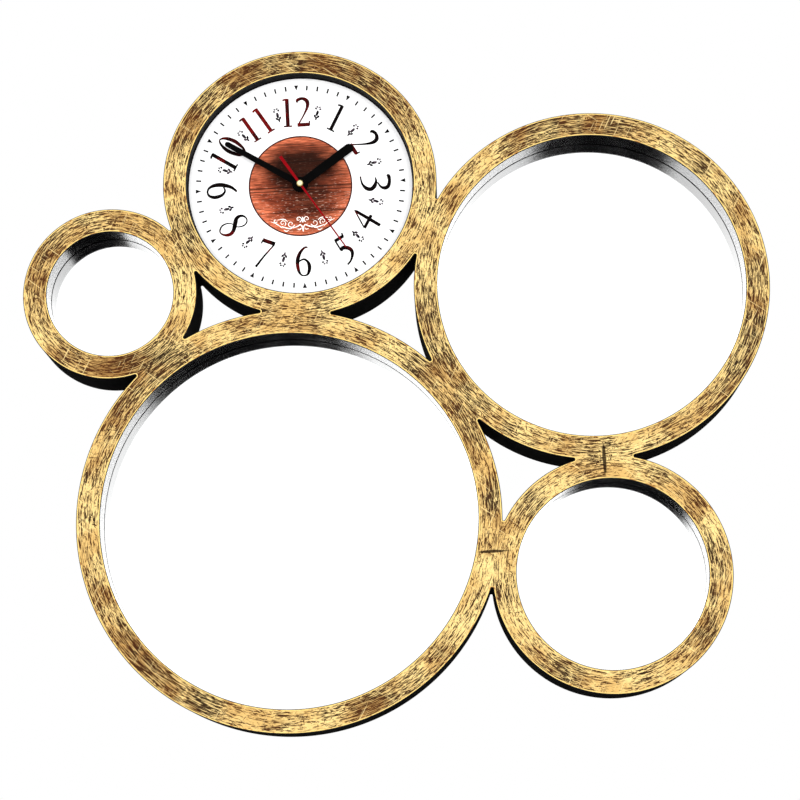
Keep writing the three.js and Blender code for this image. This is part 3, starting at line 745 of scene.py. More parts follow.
    def build(self) -> Material:
        """Washed gold, strokes in four directions and along the band, then scratches and seams.

        Returns:
            The material.
        """
        bench = FinishBench("antique_gold")
        clouds = bench.patches(self.cloud_size, 4, rough=0.6)
        hatching = bench.node("ShaderNodeAttribute", attribute_name="hatching")
        parts = bench.node("ShaderNodeSeparateColor", {"Color": hatching.outputs["Color"]}).outputs
        shares = [*parts[:3], hatching.outputs["Alpha"]]
        weight = bench.add(bench.add(*shares[:2]), bench.add(*shares[2:]))
        density = bench.add(bench.times(weight, self.band_ink), self.along)
        place = self.band_place(bench)
        base = self.base(bench, clouds, place, weight)
        layers = [self.hatch_layer(bench, turn, share) for turn, share in zip(HATCH_LAYERS, shares)]
        layers += [self.band_layer(bench, place, size, density) for size in self.band_strokes]
        wisps = bench.between(self.band_noise(bench, place, 11.0, 0.66), 0.52, 0.59, 1.0, 0.22)
        ink = bench.times(bench.most(*layers), wisps)
        browned = bench.mix(bench.between(clouds, 0.3, 0.7), self.dark, self.umber)
        inked = bench.mix(bench.times(ink, 0.98), base, browned)
        marks = bench.most(*(
            bench.between(bench.streaks(turn, length, 0.8, (start, 2 * start), 0.0, 0.1), 0.75, 0.82)
            for turn, length, start in self.scratches
        ))
        scratched = bench.mix(bench.times(marks, 0.4), inked, self.scratch)
        return bench.finish(
            Base_Color=bench.mix(self.seam_marks(bench), scratched, self.dark),
            Metallic=bench.between(ink, 0.0, 1.0, 0.7, 0.0), Roughness=bench.between(ink, 0.0, 1.0, 0.36, 0.7),
            Specular_IOR_Level=0.03, Normal=bench.bump(bench.less(marks, ink), 0.12, 0.5),
        )


@dataclass(frozen=True)
class GoldEdgeWearAndHighlight:
    """The bright line along the edges of the moulding's front: bare gold wear and a painted highlight, on a flat strip
    beside the rounded black edge.
    """

    # bare gold with a painted highlight of the edge
    bright: Colour = srgb(238, 206, 124)
    worn: Colour = srgb(176, 124, 60)
    patch: float = 6.0

    def build(self) -> Material:
        """Bright gold as bare wear and painted highlight, broken by short worn stretches.

        Returns:
            The material.
        """
        bench = FinishBench("gold_edge")
        worn = bench.between(bench.patches((self.patch,) * 3, 3), 0.54, 0.68)
        return bench.finish(
            Base_Color=bench.mix(worn, self.bright, self.worn), Metallic=0.8,
            Roughness=bench.between(worn, 0.0, 1.0, 0.28, 0.5),
        )


@dataclass(frozen=True)
class BlackMoulding:
    """Black plastic of the moulding's sides and inside."""

    name: str
    tone: float = 0.003
    rough: float = 0.08
    specular: float = 0.5
    relief: float = 0.001

    def build(self) -> Material:
        """Near black, with the faint flow marks of a moulding.

        Returns:
            The material.
        """
        bench = FinishBench(self.name)
        flow = bench.patches((30, 30, 8), 4, turn=20)
        darker, lighter = (self.tone * 0.7,) * 3, (self.tone * 1.5,) * 3
        grain = bench.noise(bench.position(), 900.0, 2)
        return bench.finish(
            Base_Color=bench.mix(bench.between(flow, 0.35, 0.65), darker, lighter),
            Roughness=bench.between(flow, 0.3, 0.7, self.rough, self.rough * 1.5),
            Specular_IOR_Level=self.specular, Normal=bench.bump(grain, self.relief, 0.15),
        )


@dataclass(frozen=True)
class Plastic:
    """Moulded plastic or paint of one colour with a fine texture."""

    name: str
    colour: Colour
    rough: float = 0.4
    relief: float = 0.02
    specular: float = 0.5

    def build(self) -> Material:
        """The colour, a touch lighter and darker in clouds.

        Returns:
            The material.
        """
        bench = FinishBench(self.name)
        clouds = bench.noise(bench.position(), 120.0, 3)
        grain = bench.noise(bench.position(), 2600.0, 2)
        return bench.finish(
            Base_Color=bench.mix(bench.between(clouds, 0.35, 0.65), self.colour, dimmed(self.colour)),
            Roughness=bench.between(grain, 0.3, 0.7, self.rough * 0.9, min(1.0, self.rough * 1.15)),
            Specular_IOR_Level=self.specular, Normal=bench.bump(grain, self.relief, 0.5),
        )


@dataclass(frozen=True)
class Metal:
    """Bare or plated metal with brushing and light staining."""

    name: str
    colour: Colour
    stain: Colour
    rough: float = 0.3
    brushed: float = 0.35

    def build(self) -> Material:
        """Brushed streaks in the roughness, stains in the colour.

        Returns:
            The material.
        """
        bench = FinishBench(self.name)
        cloud = bench.noise(bench.position(), 260.0, 4, 0.6)
        brushing = bench.streaks(25, 9.0, 0.12, (1, 2))
        smooth, dull = self.rough * (1 - self.brushed), self.rough * (1 + self.brushed)
        return bench.finish(
            Base_Color=bench.mix(bench.between(cloud, 0.5, 0.75), self.colour, self.stain), Metallic=1.0,
            Roughness=bench.between(brushing, 0.3, 0.7, smooth, dull), Normal=bench.bump(brushing, 0.004, 0.4),
        )


@dataclass(frozen=True)
class CapBrass:
    """Polished brass of the second hand's cap, with a painted highlight in the middle and painted shade towards the
    rim.
    """

    shaft: Pair
    radius: float = 2.85
    # painted highlight in the middle of the dome
    bright: Colour = srgb(255, 248, 200)
    # painted shade towards the dome's rim
    dull: Colour = srgb(140, 116, 40)

    def build(self) -> Material:
        """A smooth step of the distance from the shaft, under a fine polish: a painted highlight in the middle, painted
        shade at the rim.

        Returns:
            The material.
        """
        bench = FinishBench("cap_brass")
        away = bench.away_from(self.shaft, self.radius, self.radius)
        polish = bench.streaks(25, 2.0, 0.2, (1, 2))
        return bench.finish(
            Base_Color=bench.mix(bench.between(away, 0.4, 1.0), self.bright, self.dull), Metallic=1.0,
            Roughness=bench.between(polish, 0.3, 0.7, 0.1, 0.18),
        )


@dataclass(frozen=True)
class Hardboard:
    """Brown wood-fibre board of the mirrors' and dial's backs."""

    face: Colour = srgb(120, 84, 52)
    fibre: Colour = srgb(78, 50, 30)
    fibre_size: Pair = (3.5, 0.35)

    def build(self) -> Material:
        """Short fibres in two directions, and a soft mottle.

        Returns:
            The material.
        """
        bench = FinishBench("hardboard")
        mottle = bench.patches((18, 18, 18), 4)
        ways = [bench.streaks(turn, *self.fibre_size, (turn, 0), 2.0, 0.6) for turn in (20, 110)]
        fibres = bench.between(bench.most(*ways), 0.52, 0.74)
        toned = bench.mix(bench.between(mottle, 0.3, 0.7), self.face, dimmed(self.face))
        return bench.finish(
            Base_Color=bench.mix(bench.times(fibres, 0.75), toned, self.fibre),
            Roughness=bench.between(mottle, 0.3, 0.7, 0.72, 0.85), Normal=bench.bump(fibres, 0.06, 0.5),
        )


@dataclass(frozen=True)
class DialPaper:
    """White laminated print of the dial."""

    white: Colour = (0.66, 0.66, 0.66)
    shade: Colour = (0.645, 0.645, 0.65)

    def build(self) -> Material:
        """White with the faintest tooth.

        Returns:
            The material.
        """
        bench = FinishBench("dial_paper")
        tooth = bench.noise(bench.position(), 1500.0, 3)
        clouds = bench.noise(bench.position(), 30.0, 2)
        return bench.finish(
            Base_Color=bench.mix(bench.between(clouds, 0.35, 0.65), self.white, self.shade),
            Roughness=bench.between(tooth, 0.3, 0.7, 0.42, 0.5), Normal=bench.bump(tooth, 0.004, 0.3),
        )


@dataclass(frozen=True)
class NumeralInk:
    """Printed black that turns dark red near one side of the dial."""

    shaft: Pair
    black: Colour = srgb(5, 2, 2)
    red: Colour = srgb(92, 8, 10)
    reddest: Pair = (-22, 60)

    def build(self) -> Material:
        """Black, with red that is strongest above and to the left of the shaft and breaks up outwards.

        Returns:
            The material.
        """
        bench = FinishBench("numeral_ink")
        away = bench.away_from((self.shaft[0] + self.reddest[0], self.shaft[1] + self.reddest[1]))
        near = bench.between(away, 12.0, 50.0, 0.75, 0.0)
        mottle = bench.between(bench.patches((9, 9, 9)), 0.4, 0.62)
        share = bench.math("MULTIPLY", near, bench.add(mottle, 0.25), clamp=True)
        stray = bench.between(bench.patches((14, 14, 14), 1, (7, 3)), 0.58, 0.7, 0.0, 0.5)
        return bench.finish(
            Base_Color=bench.mix(bench.most(share, stray), self.black, self.red), Roughness=0.45,
            Specular_IOR_Level=0.03,
        )


@dataclass(frozen=True)
class PrintedInk:
    """One printed colour with a slight unevenness."""

    name: str
    colour: Colour
    patch: Colour

    def build(self) -> Material:
        """The colour with small patches of another.

        Returns:
            The material.
        """
        bench = FinishBench(self.name)
        uneven = bench.between(bench.patches((2, 2, 2), 3), 0.45, 0.7)
        toned = bench.mix(uneven, self.colour, self.patch)
        return bench.finish(Base_Color=toned, Roughness=0.45, Specular_IOR_Level=0.04)


@dataclass(frozen=True)
class PrintedWood:
    """The dial's printed disc of red-brown planks: bright at the rim, dark in the middle.

    A joint between planks is (height from the shaft, width), and a dark patch is (x and z from the shaft, reach
    along x, reach along z, where it starts to fade, how dark it is).
    """

    shaft: Pair
    radius: float
    rim: Colour = srgb(144, 62, 38)
    glow: Colour = srgb(208, 110, 76)
    core: Colour = srgb(30, 11, 5)
    shadow: Colour = srgb(20, 8, 4)
    outline: Colour = srgb(52, 22, 20)
    fleck: Colour = srgb(255, 214, 190)
    joints: tuple[Pair, ...] = ((-0.8, 0.65), (-3.6, 0.4), (20.5, 0.35), (-22.0, 0.3))
    patches: tuple[tuple[float, ...], ...] = ((1, 14, 42, 24, 0.4, 0.97), (5, -8, 40, 34, 0.15, 0.8))

    def planks(self, bench: Bench, away: Socket) -> Socket:
        """The planks' colour: a rim with sunny clouds, darkened in two uneven patches in the middle.

        Args:
            bench: the wood's bench.
            away: the distance from the shaft as a share of the disc's radius.

        Returns:
            The colour before its grain.
        """
        cloud = bench.patches((20, 20, 9), 2, self.shaft)
        uneven = bench.times(bench.less(cloud, 0.5), 0.5)
        middle = bench.most(*(
            bench.between(
                bench.add(bench.away_from((self.shaft[0] + x, self.shaft[1] + z), across, up), uneven),
                start, 1.3, most, 0.0,
            )
            for x, z, across, up, start, most in self.patches
        ))
        sunny = bench.add(bench.between(cloud, 0.42, 0.64, 0.0, 0.5), bench.between(away, 0.6, 0.95, 0.0, 0.6))
        return bench.mix(middle, bench.mix(sunny, self.rim, self.glow), self.core)

    def build(self) -> Material:
        """Horizontal grain and flecks on the planks, dark joints, and a thin outline round the disc.

        Returns:
            The material.
        """
        bench = FinishBench("printed_wood")
        height = bench.node("ShaderNodeSeparateXYZ", {"Vector": bench.on_plan(self.shaft)}).outputs["Z"]
        away = bench.away_from(self.shaft, self.radius, self.radius)
        fine = bench.between(bench.streaks(0, 9.0, 0.6, (3, 8), 3.0), 0.44, 0.58, 0.0, 0.55)
        long = bench.between(bench.streaks(0, 46.0, 1.1, self.shaft, 3.0, 0.2), 0.5, 0.7, 0.0, 0.6)
        grained = bench.mix(long, bench.mix(fine, self.planks(bench, away), self.shadow), self.shadow)
        flecks = bench.between(bench.streaks(0, 4.0, 0.45, (9, 4)), 0.62, 0.74)
        flecks = bench.times(flecks, bench.between(height, -30.0, 20.0, 0.6, 0.05))
        joints = bench.most(*(
            bench.between(bench.math("ABSOLUTE", bench.less(height, level)), width * 0.6, width * 1.7, 0.8, 0.0)
            for level, width in self.joints
        ))
        jointed = bench.mix(joints, bench.mix(flecks, grained, self.fleck), self.shadow)
        toned = bench.mix(bench.between(away, 0.965, 0.98), jointed, self.outline)
        return bench.finish(Base_Color=toned, Roughness=0.45, Specular_IOR_Level=0.04)


@dataclass(frozen=True)
class MirrorCoat:
    """A mirror's clear glass in front and at the edge, or the silver behind it, with a trace of unevenness."""

    name: str
    tones: tuple[Colour, Colour]
    patches: float
    detail: float
    surface: dict[str, float]

    def build(self) -> Material:
        """Two tones in soft clouds, with no roughness.

        Returns:
            The material.
        """
        bench = FinishBench(self.name)
        cloud = bench.between(bench.noise(bench.position(), self.patches, self.detail), 0.3, 0.7)
        return bench.finish(Base_Color=bench.mix(cloud, *self.tones), Roughness=0.0, **self.surface)


@dataclass(frozen=True)
class BatteryJacket:
    """A battery's printed jacket: a coloured band by the positive end on a dark can."""

    start: float
    end: float
    dark: Colour = srgb(34, 38, 44)
    band: Colour = srgb(190, 128, 58)
    scuffed: Colour = (0.5, 0.5, 0.5)
    band_start: float = 0.79

    def build(self) -> Material:
        """The band starts at a share of the length along x, with a fine scuffed sheen over both.

        Returns:
            The material.
        """
        bench = FinishBench("battery_jacket")
        x = bench.node("ShaderNodeSeparateXYZ", {"Vector": bench.position()}).outputs["X"]
        along = bench.between(x, self.start * MM, self.end * MM)
        banded = bench.between(along, self.band_start, self.band_start + 0.01)
        scuff = bench.patches((8, 1, 1), 3)
        colour = bench.mix(banded, self.dark, self.band)
        return bench.finish(
            Base_Color=bench.mix(bench.between(scuff, 0.6, 0.8, 0.0, 0.3), colour, self.scuffed), Metallic=0.35,
            Roughness=bench.between(scuff, 0.3, 0.7, 0.24, 0.4),
        )


@dataclass(frozen=True)
class CopperWinding:
    """Enamelled copper wire, wound turn by turn along x."""

    # painted shade in the grooves between the turns
    gap: Colour = srgb(150, 62, 30)
    wire: Colour = srgb(214, 112, 62)

    def build(self) -> Material:
        """A fine ripple along the winding, darker between the turns as painted shade in the grooves.

        Returns:
            The material.
        """
        bench = FinishBench("copper_winding")
        inputs = {"Vector": bench.position(), "Scale": 1500.0, "Distortion": 0.4}
        wave = bench.node("ShaderNodeTexWave", inputs).outputs["Fac"]
        return bench.finish(
            Base_Color=bench.mix(wave, self.gap, self.wire), Metallic=1.0, Roughness=0.3,
            Normal=bench.bump(wave, 0.05, 0.8),
        )


@dataclass(frozen=True)
class CircuitLaminate:
    """Printed circuit: solder mask over copper tracks, with tinned pads."""

    mask: Colour = srgb(14, 74, 38)
    track: Colour = srgb(38, 116, 62)
    pad: Colour = srgb(196, 196, 190)

    def build(self) -> Material:
        """Tracks from drawn-out noise, pads from the middles of small cells.

        Returns:
            The material.
        """
        bench = FinishBench("circuit_laminate")
        cells = bench.node("ShaderNodeTexVoronoi", {"Vector": bench.position(), "Scale": 480.0}, distance="CHEBYCHEV")
        pads = bench.between(cells.outputs["Distance"], 0.16, 0.2, 1.0, 0.0)
        tracks = bench.between(bench.streaks(0, 6.0, 0.7, (2, 2), 0.0), 0.54, 0.58)
        return bench.finish(
            Base_Color=bench.mix(pads, bench.mix(tracks, self.mask, self.track), self.pad),
            Metallic=bench.times(pads, 0.9), Roughness=0.32,
        )


@dataclass
class Finishes:
    """Every shared material of the clock, made once."""

    shaft: Pair
    bands: tuple[Triple, ...]

    def __post_init__(self) -> None:
        """Builds the shared materials."""
        self.gold = AntiqueGold(self.bands, SEAMS).build()
        # bare gold with a painted highlight along the front's edges
        self.edge = GoldEdgeWearAndHighlight().build()
        self.gloss = BlackMoulding("black_gloss_moulding", specular=1.0, relief=0.00025).build()
        self.satin = BlackMoulding("black_satin_moulding", rough=0.3, specular=0.2).build()
        self.matte = BlackMoulding("black_matte_moulding", rough=0.6, specular=0.05).build()
        clear, silvery = ((0.985, 0.99, 0.988), (0.99, 0.99, 0.99)), ((0.97, 0.972, 0.972), (0.955, 0.957, 0.96))
        self.glass = MirrorCoat("mirror_glass", clear, 12.0, 1, {"IOR": 1.5, "Transmission_Weight": 1.0}).build()
        self.silver = MirrorCoat("mirror_silver", silvery, 9.0, 2, {"Metallic": 1.0}).build()
        self.board = Hardboard().build()
        self.paper = DialPaper().build()
        self.numerals = NumeralInk(self.shaft).build()
        self.marks = PrintedInk("mark_ink", srgb(6, 5, 6), srgb(34, 28, 30)).build()
        self.ornaments = PrintedInk("ornament_ink", srgb(14, 10, 14), srgb(70, 56, 66)).build()
        self.scroll = PrintedInk("scroll_ink", srgb(250, 244, 238), srgb(226, 204, 192)).build()
        self.black_paint = Plastic("black_hand_paint", srgb(4, 4, 4), 0.35, 0.006, 0.012).build()
        self.red_paint = Plastic("red_hand_paint", srgb(114, 2, 9), 0.36, 0.006, 0.04).build()
        self.cap_brass = CapBrass(self.shaft).build()
        self.brass = Metal("turned_brass", srgb(224, 184, 108), srgb(160, 116, 60), 0.26).build()
        self.zinc = Metal("zinc_plate", srgb(196, 198, 204), srgb(150, 150, 150), 0.34).build()
        self.screw_steel = Metal("screw_steel", srgb(184, 184, 188), srgb(120, 116, 110), 0.3).build()
        self.spring = Metal("spring_steel", srgb(206, 206, 210), srgb(168, 160, 150), 0.24).build()
        self.core_steel = Metal("stator_steel", srgb(150, 150, 154), srgb(110, 106, 104), 0.42).build()
        self.case = Plastic("movement_plastic", srgb(22, 22, 24), 0.48, 0.03).build()
        self.wheels = Plastic("wheel_plastic", srgb(226, 222, 206), 0.35, 0.01).build()
        self.magnet = Plastic("magnet_ferrite", srgb(46, 44, 46), 0.4, 0.02).build()
        self.rubber = Plastic("washer_rubber", srgb(18, 18, 18), 0.75, 0.02).build()
        self.copper = CopperWinding().build()
        self.circuit = CircuitLaminate().build()


# The moulding


class RingName(Enum):
    """The five merged rings."""

    BIG = "big"
    RIGHT = "right"
    CLOCK = "clock"
    LOWER = "lower"
    SMALL = "small"


class Coat(IntEnum):
    """The moulding's finishes, in the order of its materials."""
    # the flat strip of bare gold with a painted highlight

    GOLD = 0
    EDGE = 1
    GLOSS = 2
    MATTE = 3
    SATIN = 4


@dataclass
class Ring:
    """One ring of the moulding, with the place of what it holds."""

    name: RingName
    inner: float
    holds: str
    board: str
    screws: int
    first_screw: float
    outer: float = 0.0
    centre: Array = field(default_factory=lambda: np.zeros(2))
    seat: float = 0.0
    board_low: float = 0.0

    def place(self, band: float) -> None:
        """Takes the ring's centre and heights from the solids that it holds.

        Args:
            band: the width of the moulding's front round the hole.
        """
        self.outer = self.inner + band
        self.centre = middle_of(self.holds)
        self.seat = heights_of(self.holds)[1]
        self.board_low = heights_of(self.board)[0]

    def bearing_to(self, other: "Ring") -> float:
        """The angle from this ring's centre to another's, in radians."""
        gap = other.centre - self.centre
        return math.atan2(gap[1], gap[0])

    def screw_angles(self) -> Array:
        """The screws' angles in radians, evenly spaced."""
        return np.radians(self.first_screw + np.arange(self.screws) * 360 / self.screws)

    def rib_angles(self) -> Array:
        """The ribs' angles, midway between the screws."""
        return self.screw_angles() + math.pi / self.screws


def placed_rings(band: float = 19.0) -> dict[RingName, Ring]:
    """The five rings, placed where the solids are.

    Args:
        band: the width of the moulding's front round every hole.

    Returns:
        The rings by name.
    """
    rings = [
        Ring(RingName.BIG, 149.7, "mirror_big", "board_big", 4, 45),
        Ring(RingName.RIGHT, 123.7, "mirror_right", "board_right", 4, 40),
        Ring(RingName.CLOCK, 92.1, "dial_print", "dial_board", 3, 90),
        Ring(RingName.LOWER, 75.4, "mirror_lower", "board_lower", 3, 30),
        Ring(RingName.SMALL, 51.2, "mirror_small", "board_small", 3, 100),
    ]
    for ring in rings:
        ring.place(band)
    return {ring.name: ring for ring in rings}


@dataclass(frozen=True)
class Tarnish:
    """A patch of denser dark strokes on the gold front: its place, reach, weight and the strokes' angle."""

    x: float
    z: float
    reach: float
    weight: float
    turn: float


TARNISH = tuple(Tarnish(*row) for row in (
    (-72, 178, 34, 1.0, 172), (-20, 158, 30, 0.95, 140), (15, 128, 24, 0.6, 120), (-118, 174, 26, 0.6, 30),
    (-155, 148, 24, 0.8, 45), (-172, 112, 24, 0.5, 70), (-170, 45, 26, 0.45, 80), (-142, 8, 20, 0.2, 135),
    (-75, -28, 30, 0.2, 5), (30, 72, 22, 0.35, 80), (120, 112, 30, 0.9, 175), (180, 114, 30, 0.95, 178),
    (242, 84, 22, 0.35, 135), (276, 44, 24, 0.45, 120), (291, -18, 24, 0.55, 100), (286, -64, 26, 0.85, 96),
    (264, -108, 24, 0.75, 60), (215, -146, 24, 0.5, 25), (138, -152, 20, 0.45, 160), (54, -100, 18, 0.5, 135),
    (26, -32, 26, 0.8, 95), (24, -84, 22, 0.95, 130), (-6, -56, 20, 0.3, 82), (-92, -40, 24, 0.15, 88),
    (-166, -72, 18, 0.4, 60), (-198, -66, 20, 0.85, 110), (-225, -68, 22, 0.8, 10), (-268, -50, 22, 0.6, 135),
    (-288, -10, 20, 0.35, 10), (-280, 28, 20, 0.9, 55), (-232, 56, 28, 0.5, 90), (-226, -108, 22, 0.75, 15),
    (-246, -158, 22, 0.45, 20), (-247, -250, 22, 0.7, 115), (-218, -306, 32, 1.1, 130), (-168, -346, 26, 0.85, 150),
    (-34, -346, 26, 0.95, 18), (12, -318, 22, 0.5, 42), (68, -192, 22, 0.5, 100), (58, -132, 20, 0.55, 118),
    (100, -196, 12, 0.9, 92), (228, -196, 22, 0.35, 130), (246, -250, 24, 0.55, 100), (226, -308, 24, 0.75, 48),
    (114, -330, 24, 0.8, 148),
))


@dataclass
class Moulding:
    """The frame: five rings moulded as one hollow piece, gold in front and black all round."""

    finishes: Finishes
    rings: dict[RingName, Ring]
    skin: Skin = field(default_factory=Skin)
    wall: float = 2.5
    depth: float = 50.0
    arris: float = 0.6
    dial_arris: float = 0.8
    # width of the flat strip of bare gold with a painted highlight
    bare_gold_highlight_strip: float = 0.7
    back_edge: float = 0.4
    notch: float = 1.0
    notch_steps: int = 9
    arc_step: float = 2.0
    rib_thickness: float = 1.8
    rib_height: float = 16.0
    boss: float = 3.0
    boss_steps: int = 24
    pilot: float = 1.5
    pilot_depth: float = 9.3
    boss_inset: float = 8.0
    seat_gap: float = 0.3
    neighbours: tuple[tuple[RingName, RingName], ...] = (
        (RingName.CLOCK, RingName.RIGHT), (RingName.CLOCK, RingName.BIG), (RingName.CLOCK, RingName.SMALL),
        (RingName.BIG, RingName.SMALL), (RingName.RIGHT, RingName.BIG), (RingName.RIGHT, RingName.LOWER),
        (RingName.BIG, RingName.LOWER),
    )

    def seam(self, a: Ring, b: Ring) -> tuple[Array, float]:
        """The fillet to the right of the way from ring a to ring b.

        Its centre lies at outer + notch from both centres: with d the distance between them,
        along = (ra^2 - rb^2 + d^2) / 2d and off = sqrt(ra^2 - along^2).

        Args:
            a: the ring that the line leaves.
            b: the ring that it goes on to.

        Returns:
            The fillet's centre, and half the angle that the seam takes out of ring a.
        """
        gap = b.centre - a.centre
        apart = float(np.linalg.norm(gap))
        unit = gap / apart
        ra, rb = a.outer + self.notch, b.outer + self.notch
        along = (ra**2 - rb**2 + apart**2) / (2 * apart)
        off = math.sqrt(ra**2 - along**2)
        centre = a.centre + along * unit + off * np.array([unit[1], -unit[0]])
        return centre, math.acos(along / ra)

    def fillet(self, a: Ring, b: Ring) -> Loop:
        """The stretch of the outline that rounds the corner between two rings.

        Args:
            a: the ring that the line leaves.
            b: the ring that it goes on to.

        Returns:
            Its points c + notch (cos t, sin t), with the material on the far side of the line.
        """
        centre = self.seam(a, b)[0]
        turn_in = math.atan2(*(a.centre - centre)[::-1])
        turn_out = math.atan2(*(b.centre - centre)[::-1])
        sweep = (turn_out - turn_in + math.pi) % FULL_TURN - math.pi
        bend = directions(turn_in + sweep * np.linspace(0, 1, self.notch_steps))
        return Loop(centre + self.notch * bend, -bend)

    def outline(self) -> list[Loop]:
        """The moulding's outside and the gaps between its rings.

        Each ring is followed counter-clockwise until a seam begins, then the fillet is followed clockwise onto the
        neighbouring ring, and so on until the line closes.

        Returns:
            The closed lines.
        """
        starts: dict[tuple[RingName, RingName], float] = {}
        for one, two in self.neighbours:
            for a, b in ((self.rings[one], self.rings[two]), (self.rings[two], self.rings[one])):
                starts[(a.name, b.name)] = a.bearing_to(b) - self.seam(a, b)[1]
        left = dict(starts)
        loops = []
        while left:
            first = here = next(iter(left))
            stretches = []
            while not stretches or here != first:
                del left[here]
                a, b = self.rings[here[0]], self.rings[here[1]]
                stretches.append(self.fillet(a, b))
                begin = b.bearing_to(a) + self.seam(b, a)[1]
                spans = {key: (angle - begin) % FULL_TURN for key, angle in starts.items() if key[0] is b.name}
                here = min(spans, key=spans.get)
                steps = max(2, int(b.outer * spans[here] / self.arc_step))
                arc = directions(begin + spans[here] * np.linspace(0, 1, steps + 1)[1:-1])
                stretches.append(Loop(b.centre + b.outer * arc, arc))
            points, outward = (np.concatenate(part) for part in zip(*((s.points, s.outward) for s in stretches)))
            loops.append(Loop(points, outward))
        return loops

    def steps_of(self, ring: Ring) -> int:
        """How many steps go round a ring."""
        return int(FULL_TURN * ring.inner / self.arc_step)

    def arris_of(self, ring: Ring) -> float:
        """The radius of the black edge round a ring's hole."""
        return self.dial_arris if ring.name is RingName.CLOCK else self.arris

    def rim_of(self, ring: Ring, radius: float, hole: bool = False) -> Loop:
        """A circle round a ring's axis, with the ring's number of steps."""
        return circle_loop(radius, ring.centre, self.steps_of(ring), hole)

    def front_and_sides(self, loops: list[Loop]) -> None:
        """The gold front with its bright line of bare gold and painted highlight, the black arris, and the outer walls
        down to the rim on the wall.

        Args:
            loops: the moulding's outline.
        """
        front = rounded_edge(self.arris, self.depth)
        inset = self.arris + self.bare_gold_highlight_strip
        line = np.array([[-inset, self.depth], front[0]])
        side = np.concatenate([front, rounded_edge(self.back_edge, 0)[::-1] * [1, -1]])
        for loop in loops:
            # the flat strip of bare gold with a painted highlight along the outline
            self.skin.wall(loop, line, Coat.EDGE)
            self.skin.wall(loop, side, Coat.SATIN)
        holes = [
            self.rim_of(ring, ring.inner, True).moved(-self.arris_of(ring) - self.bare_gold_highlight_strip)
            for ring in self.rings.values()
        ]
        self.skin.fill([loop.moved(-inset) for loop in loops] + holes, self.depth, Coat.GOLD)
        troughs = [self.rim_of(ring, ring.outer - self.wall).points for ring in self.rings.values()]
        self.skin.fill([loop.moved(-self.back_edge) for loop in loops] + troughs, 0, Coat.MATTE)

    def ring_inside(self, ring: Ring) -> None:
        """One ring's arris and inner wall, and the hollow behind them, turned about the ring's axis.

        Args:
            ring: the ring.
        """
        steps = self.steps_of(ring)
        edge = rounded_edge(self.arris_of(ring), self.depth) * [-1, 1] + [ring.inner, 0]
        lip = ring.seat + self.seat_gap
        ceiling = self.depth - self.wall
        reveal = [edge[-1], [ring.inner, lip]]
        hollow = [
            [ring.inner, lip], [ring.inner + self.wall, lip], [ring.inner + self.wall, ceiling],
            [ring.outer - self.wall, ceiling], [ring.outer - self.wall, 0],
        ]
        # the flat strip of bare gold with a painted highlight round the hole
        self.skin.turned(np.array([edge[0] + [self.bare_gold_highlight_strip, 0], edge[0]]), ring.centre, steps, Coat.EDGE)
        self.skin.turned(edge, ring.centre, steps, Coat.SATIN)
        reveal_coat = Coat.MATTE if ring.name is RingName.CLOCK else Coat.GLOSS
        self.skin.turned(np.array(reveal), ring.centre, steps, reveal_coat)
        self.skin.turned(np.array(hollow), ring.centre, steps, Coat.MATTE)

    def rib(self, ring: Ring, angle: float) -> None:
        """A web across the hollow, from wall to wall.

        Args:
            ring: the ring that it stiffens.
            angle: its direction from the ring's axis, in radians.
        """
        near, far = ring.inner + self.wall / 2, ring.outer - self.wall / 2
        half = self.rib_thickness / 2
        top = self.depth - self.wall / 2
        low = max(top - self.rib_height, ring.seat + self.seat_gap)
        corners = np.array([[near, -half], [far, -half], [far, half], [near, half]])
        loop = drawn_loop(ring.centre + turn_plan(corners, angle))
        self.skin.plate([loop], np.array([[0, top], [0, low]]), Coat.MATTE)

    def post(self, at: Array, low: float) -> None:
        """A round post with the hole for a screw in its free end.

        Args:
            at: the place of its axis on the plan.
            low: the height of its free end.
        """
        top = self.depth - self.wall / 2
        bottom = low + self.pilot_depth
        profile = [[0, bottom], [self.pilot, bottom], [self.pilot, low], [self.boss, low], [self.boss, top], [0, top]]
        self.skin.turned(np.array(profile), at, self.boss_steps, Coat.MATTE)

    def hatch(self, piece: Object) -> None:
        """Writes how dense each layer of strokes is at every vertex, as the attribute named hatching.

        A patch adds weight * exp(-(distance / reach)^2), shared between the two layers nearest to its angle.

        Args:
            piece: the moulding.
        """
        mesh = piece.data
        places = np.empty(len(mesh.vertices) * 3, np.float32)
        mesh.vertices.foreach_get("co", places)
        flat = places.reshape(-1, 3)[:, [0, 2]] / MM
        shares = np.zeros((len(flat), len(HATCH_LAYERS)))
        for patch in TARNISH:
            near = np.exp(-(((flat - [patch.x, patch.z]) ** 2).sum(axis=1)) / patch.reach**2)
            apart = np.abs((patch.turn - np.array(HATCH_LAYERS) + 90) % 180 - 90)
            shares += patch.weight * near[:, None] * np.clip(1 - apart / LAYER_GAP, 0, 1)
        layer = mesh.attributes.new("hatching", "FLOAT_COLOR", "POINT")
        layer.data.foreach_set("color", shares.astype(np.float32).ravel())

    def build(self, hanger_posts: list[Array], hanger_front: float) -> Object:
        """Makes the moulding.

        Args:
            hanger_posts: where the posts for the hangers' screws stand.
            hanger_front: the height of the hangers' front faces.

        Returns:
            The piece that stands for the frame.
        """
        self.front_and_sides(self.outline())
        for ring in self.rings.values():
            self.ring_inside(ring)
            for angle in ring.rib_angles():
                self.rib(ring, float(angle))
            for out in directions(ring.screw_angles()):
                self.post(ring.centre + (ring.inner + self.boss_inset) * out, ring.board_low)
        for at in hanger_posts:
            self.post(at, hanger_front + self.seat_gap)
        looks = self.finishes
        coats = [looks.gold, looks.edge, looks.gloss, looks.matte, looks.satin]
        piece = make_piece("ring_moulding", self.skin, coats)
        self.hatch(piece)
        return settle(piece, "root", "frame", "frame")


# Mirrors, backing boards and screws


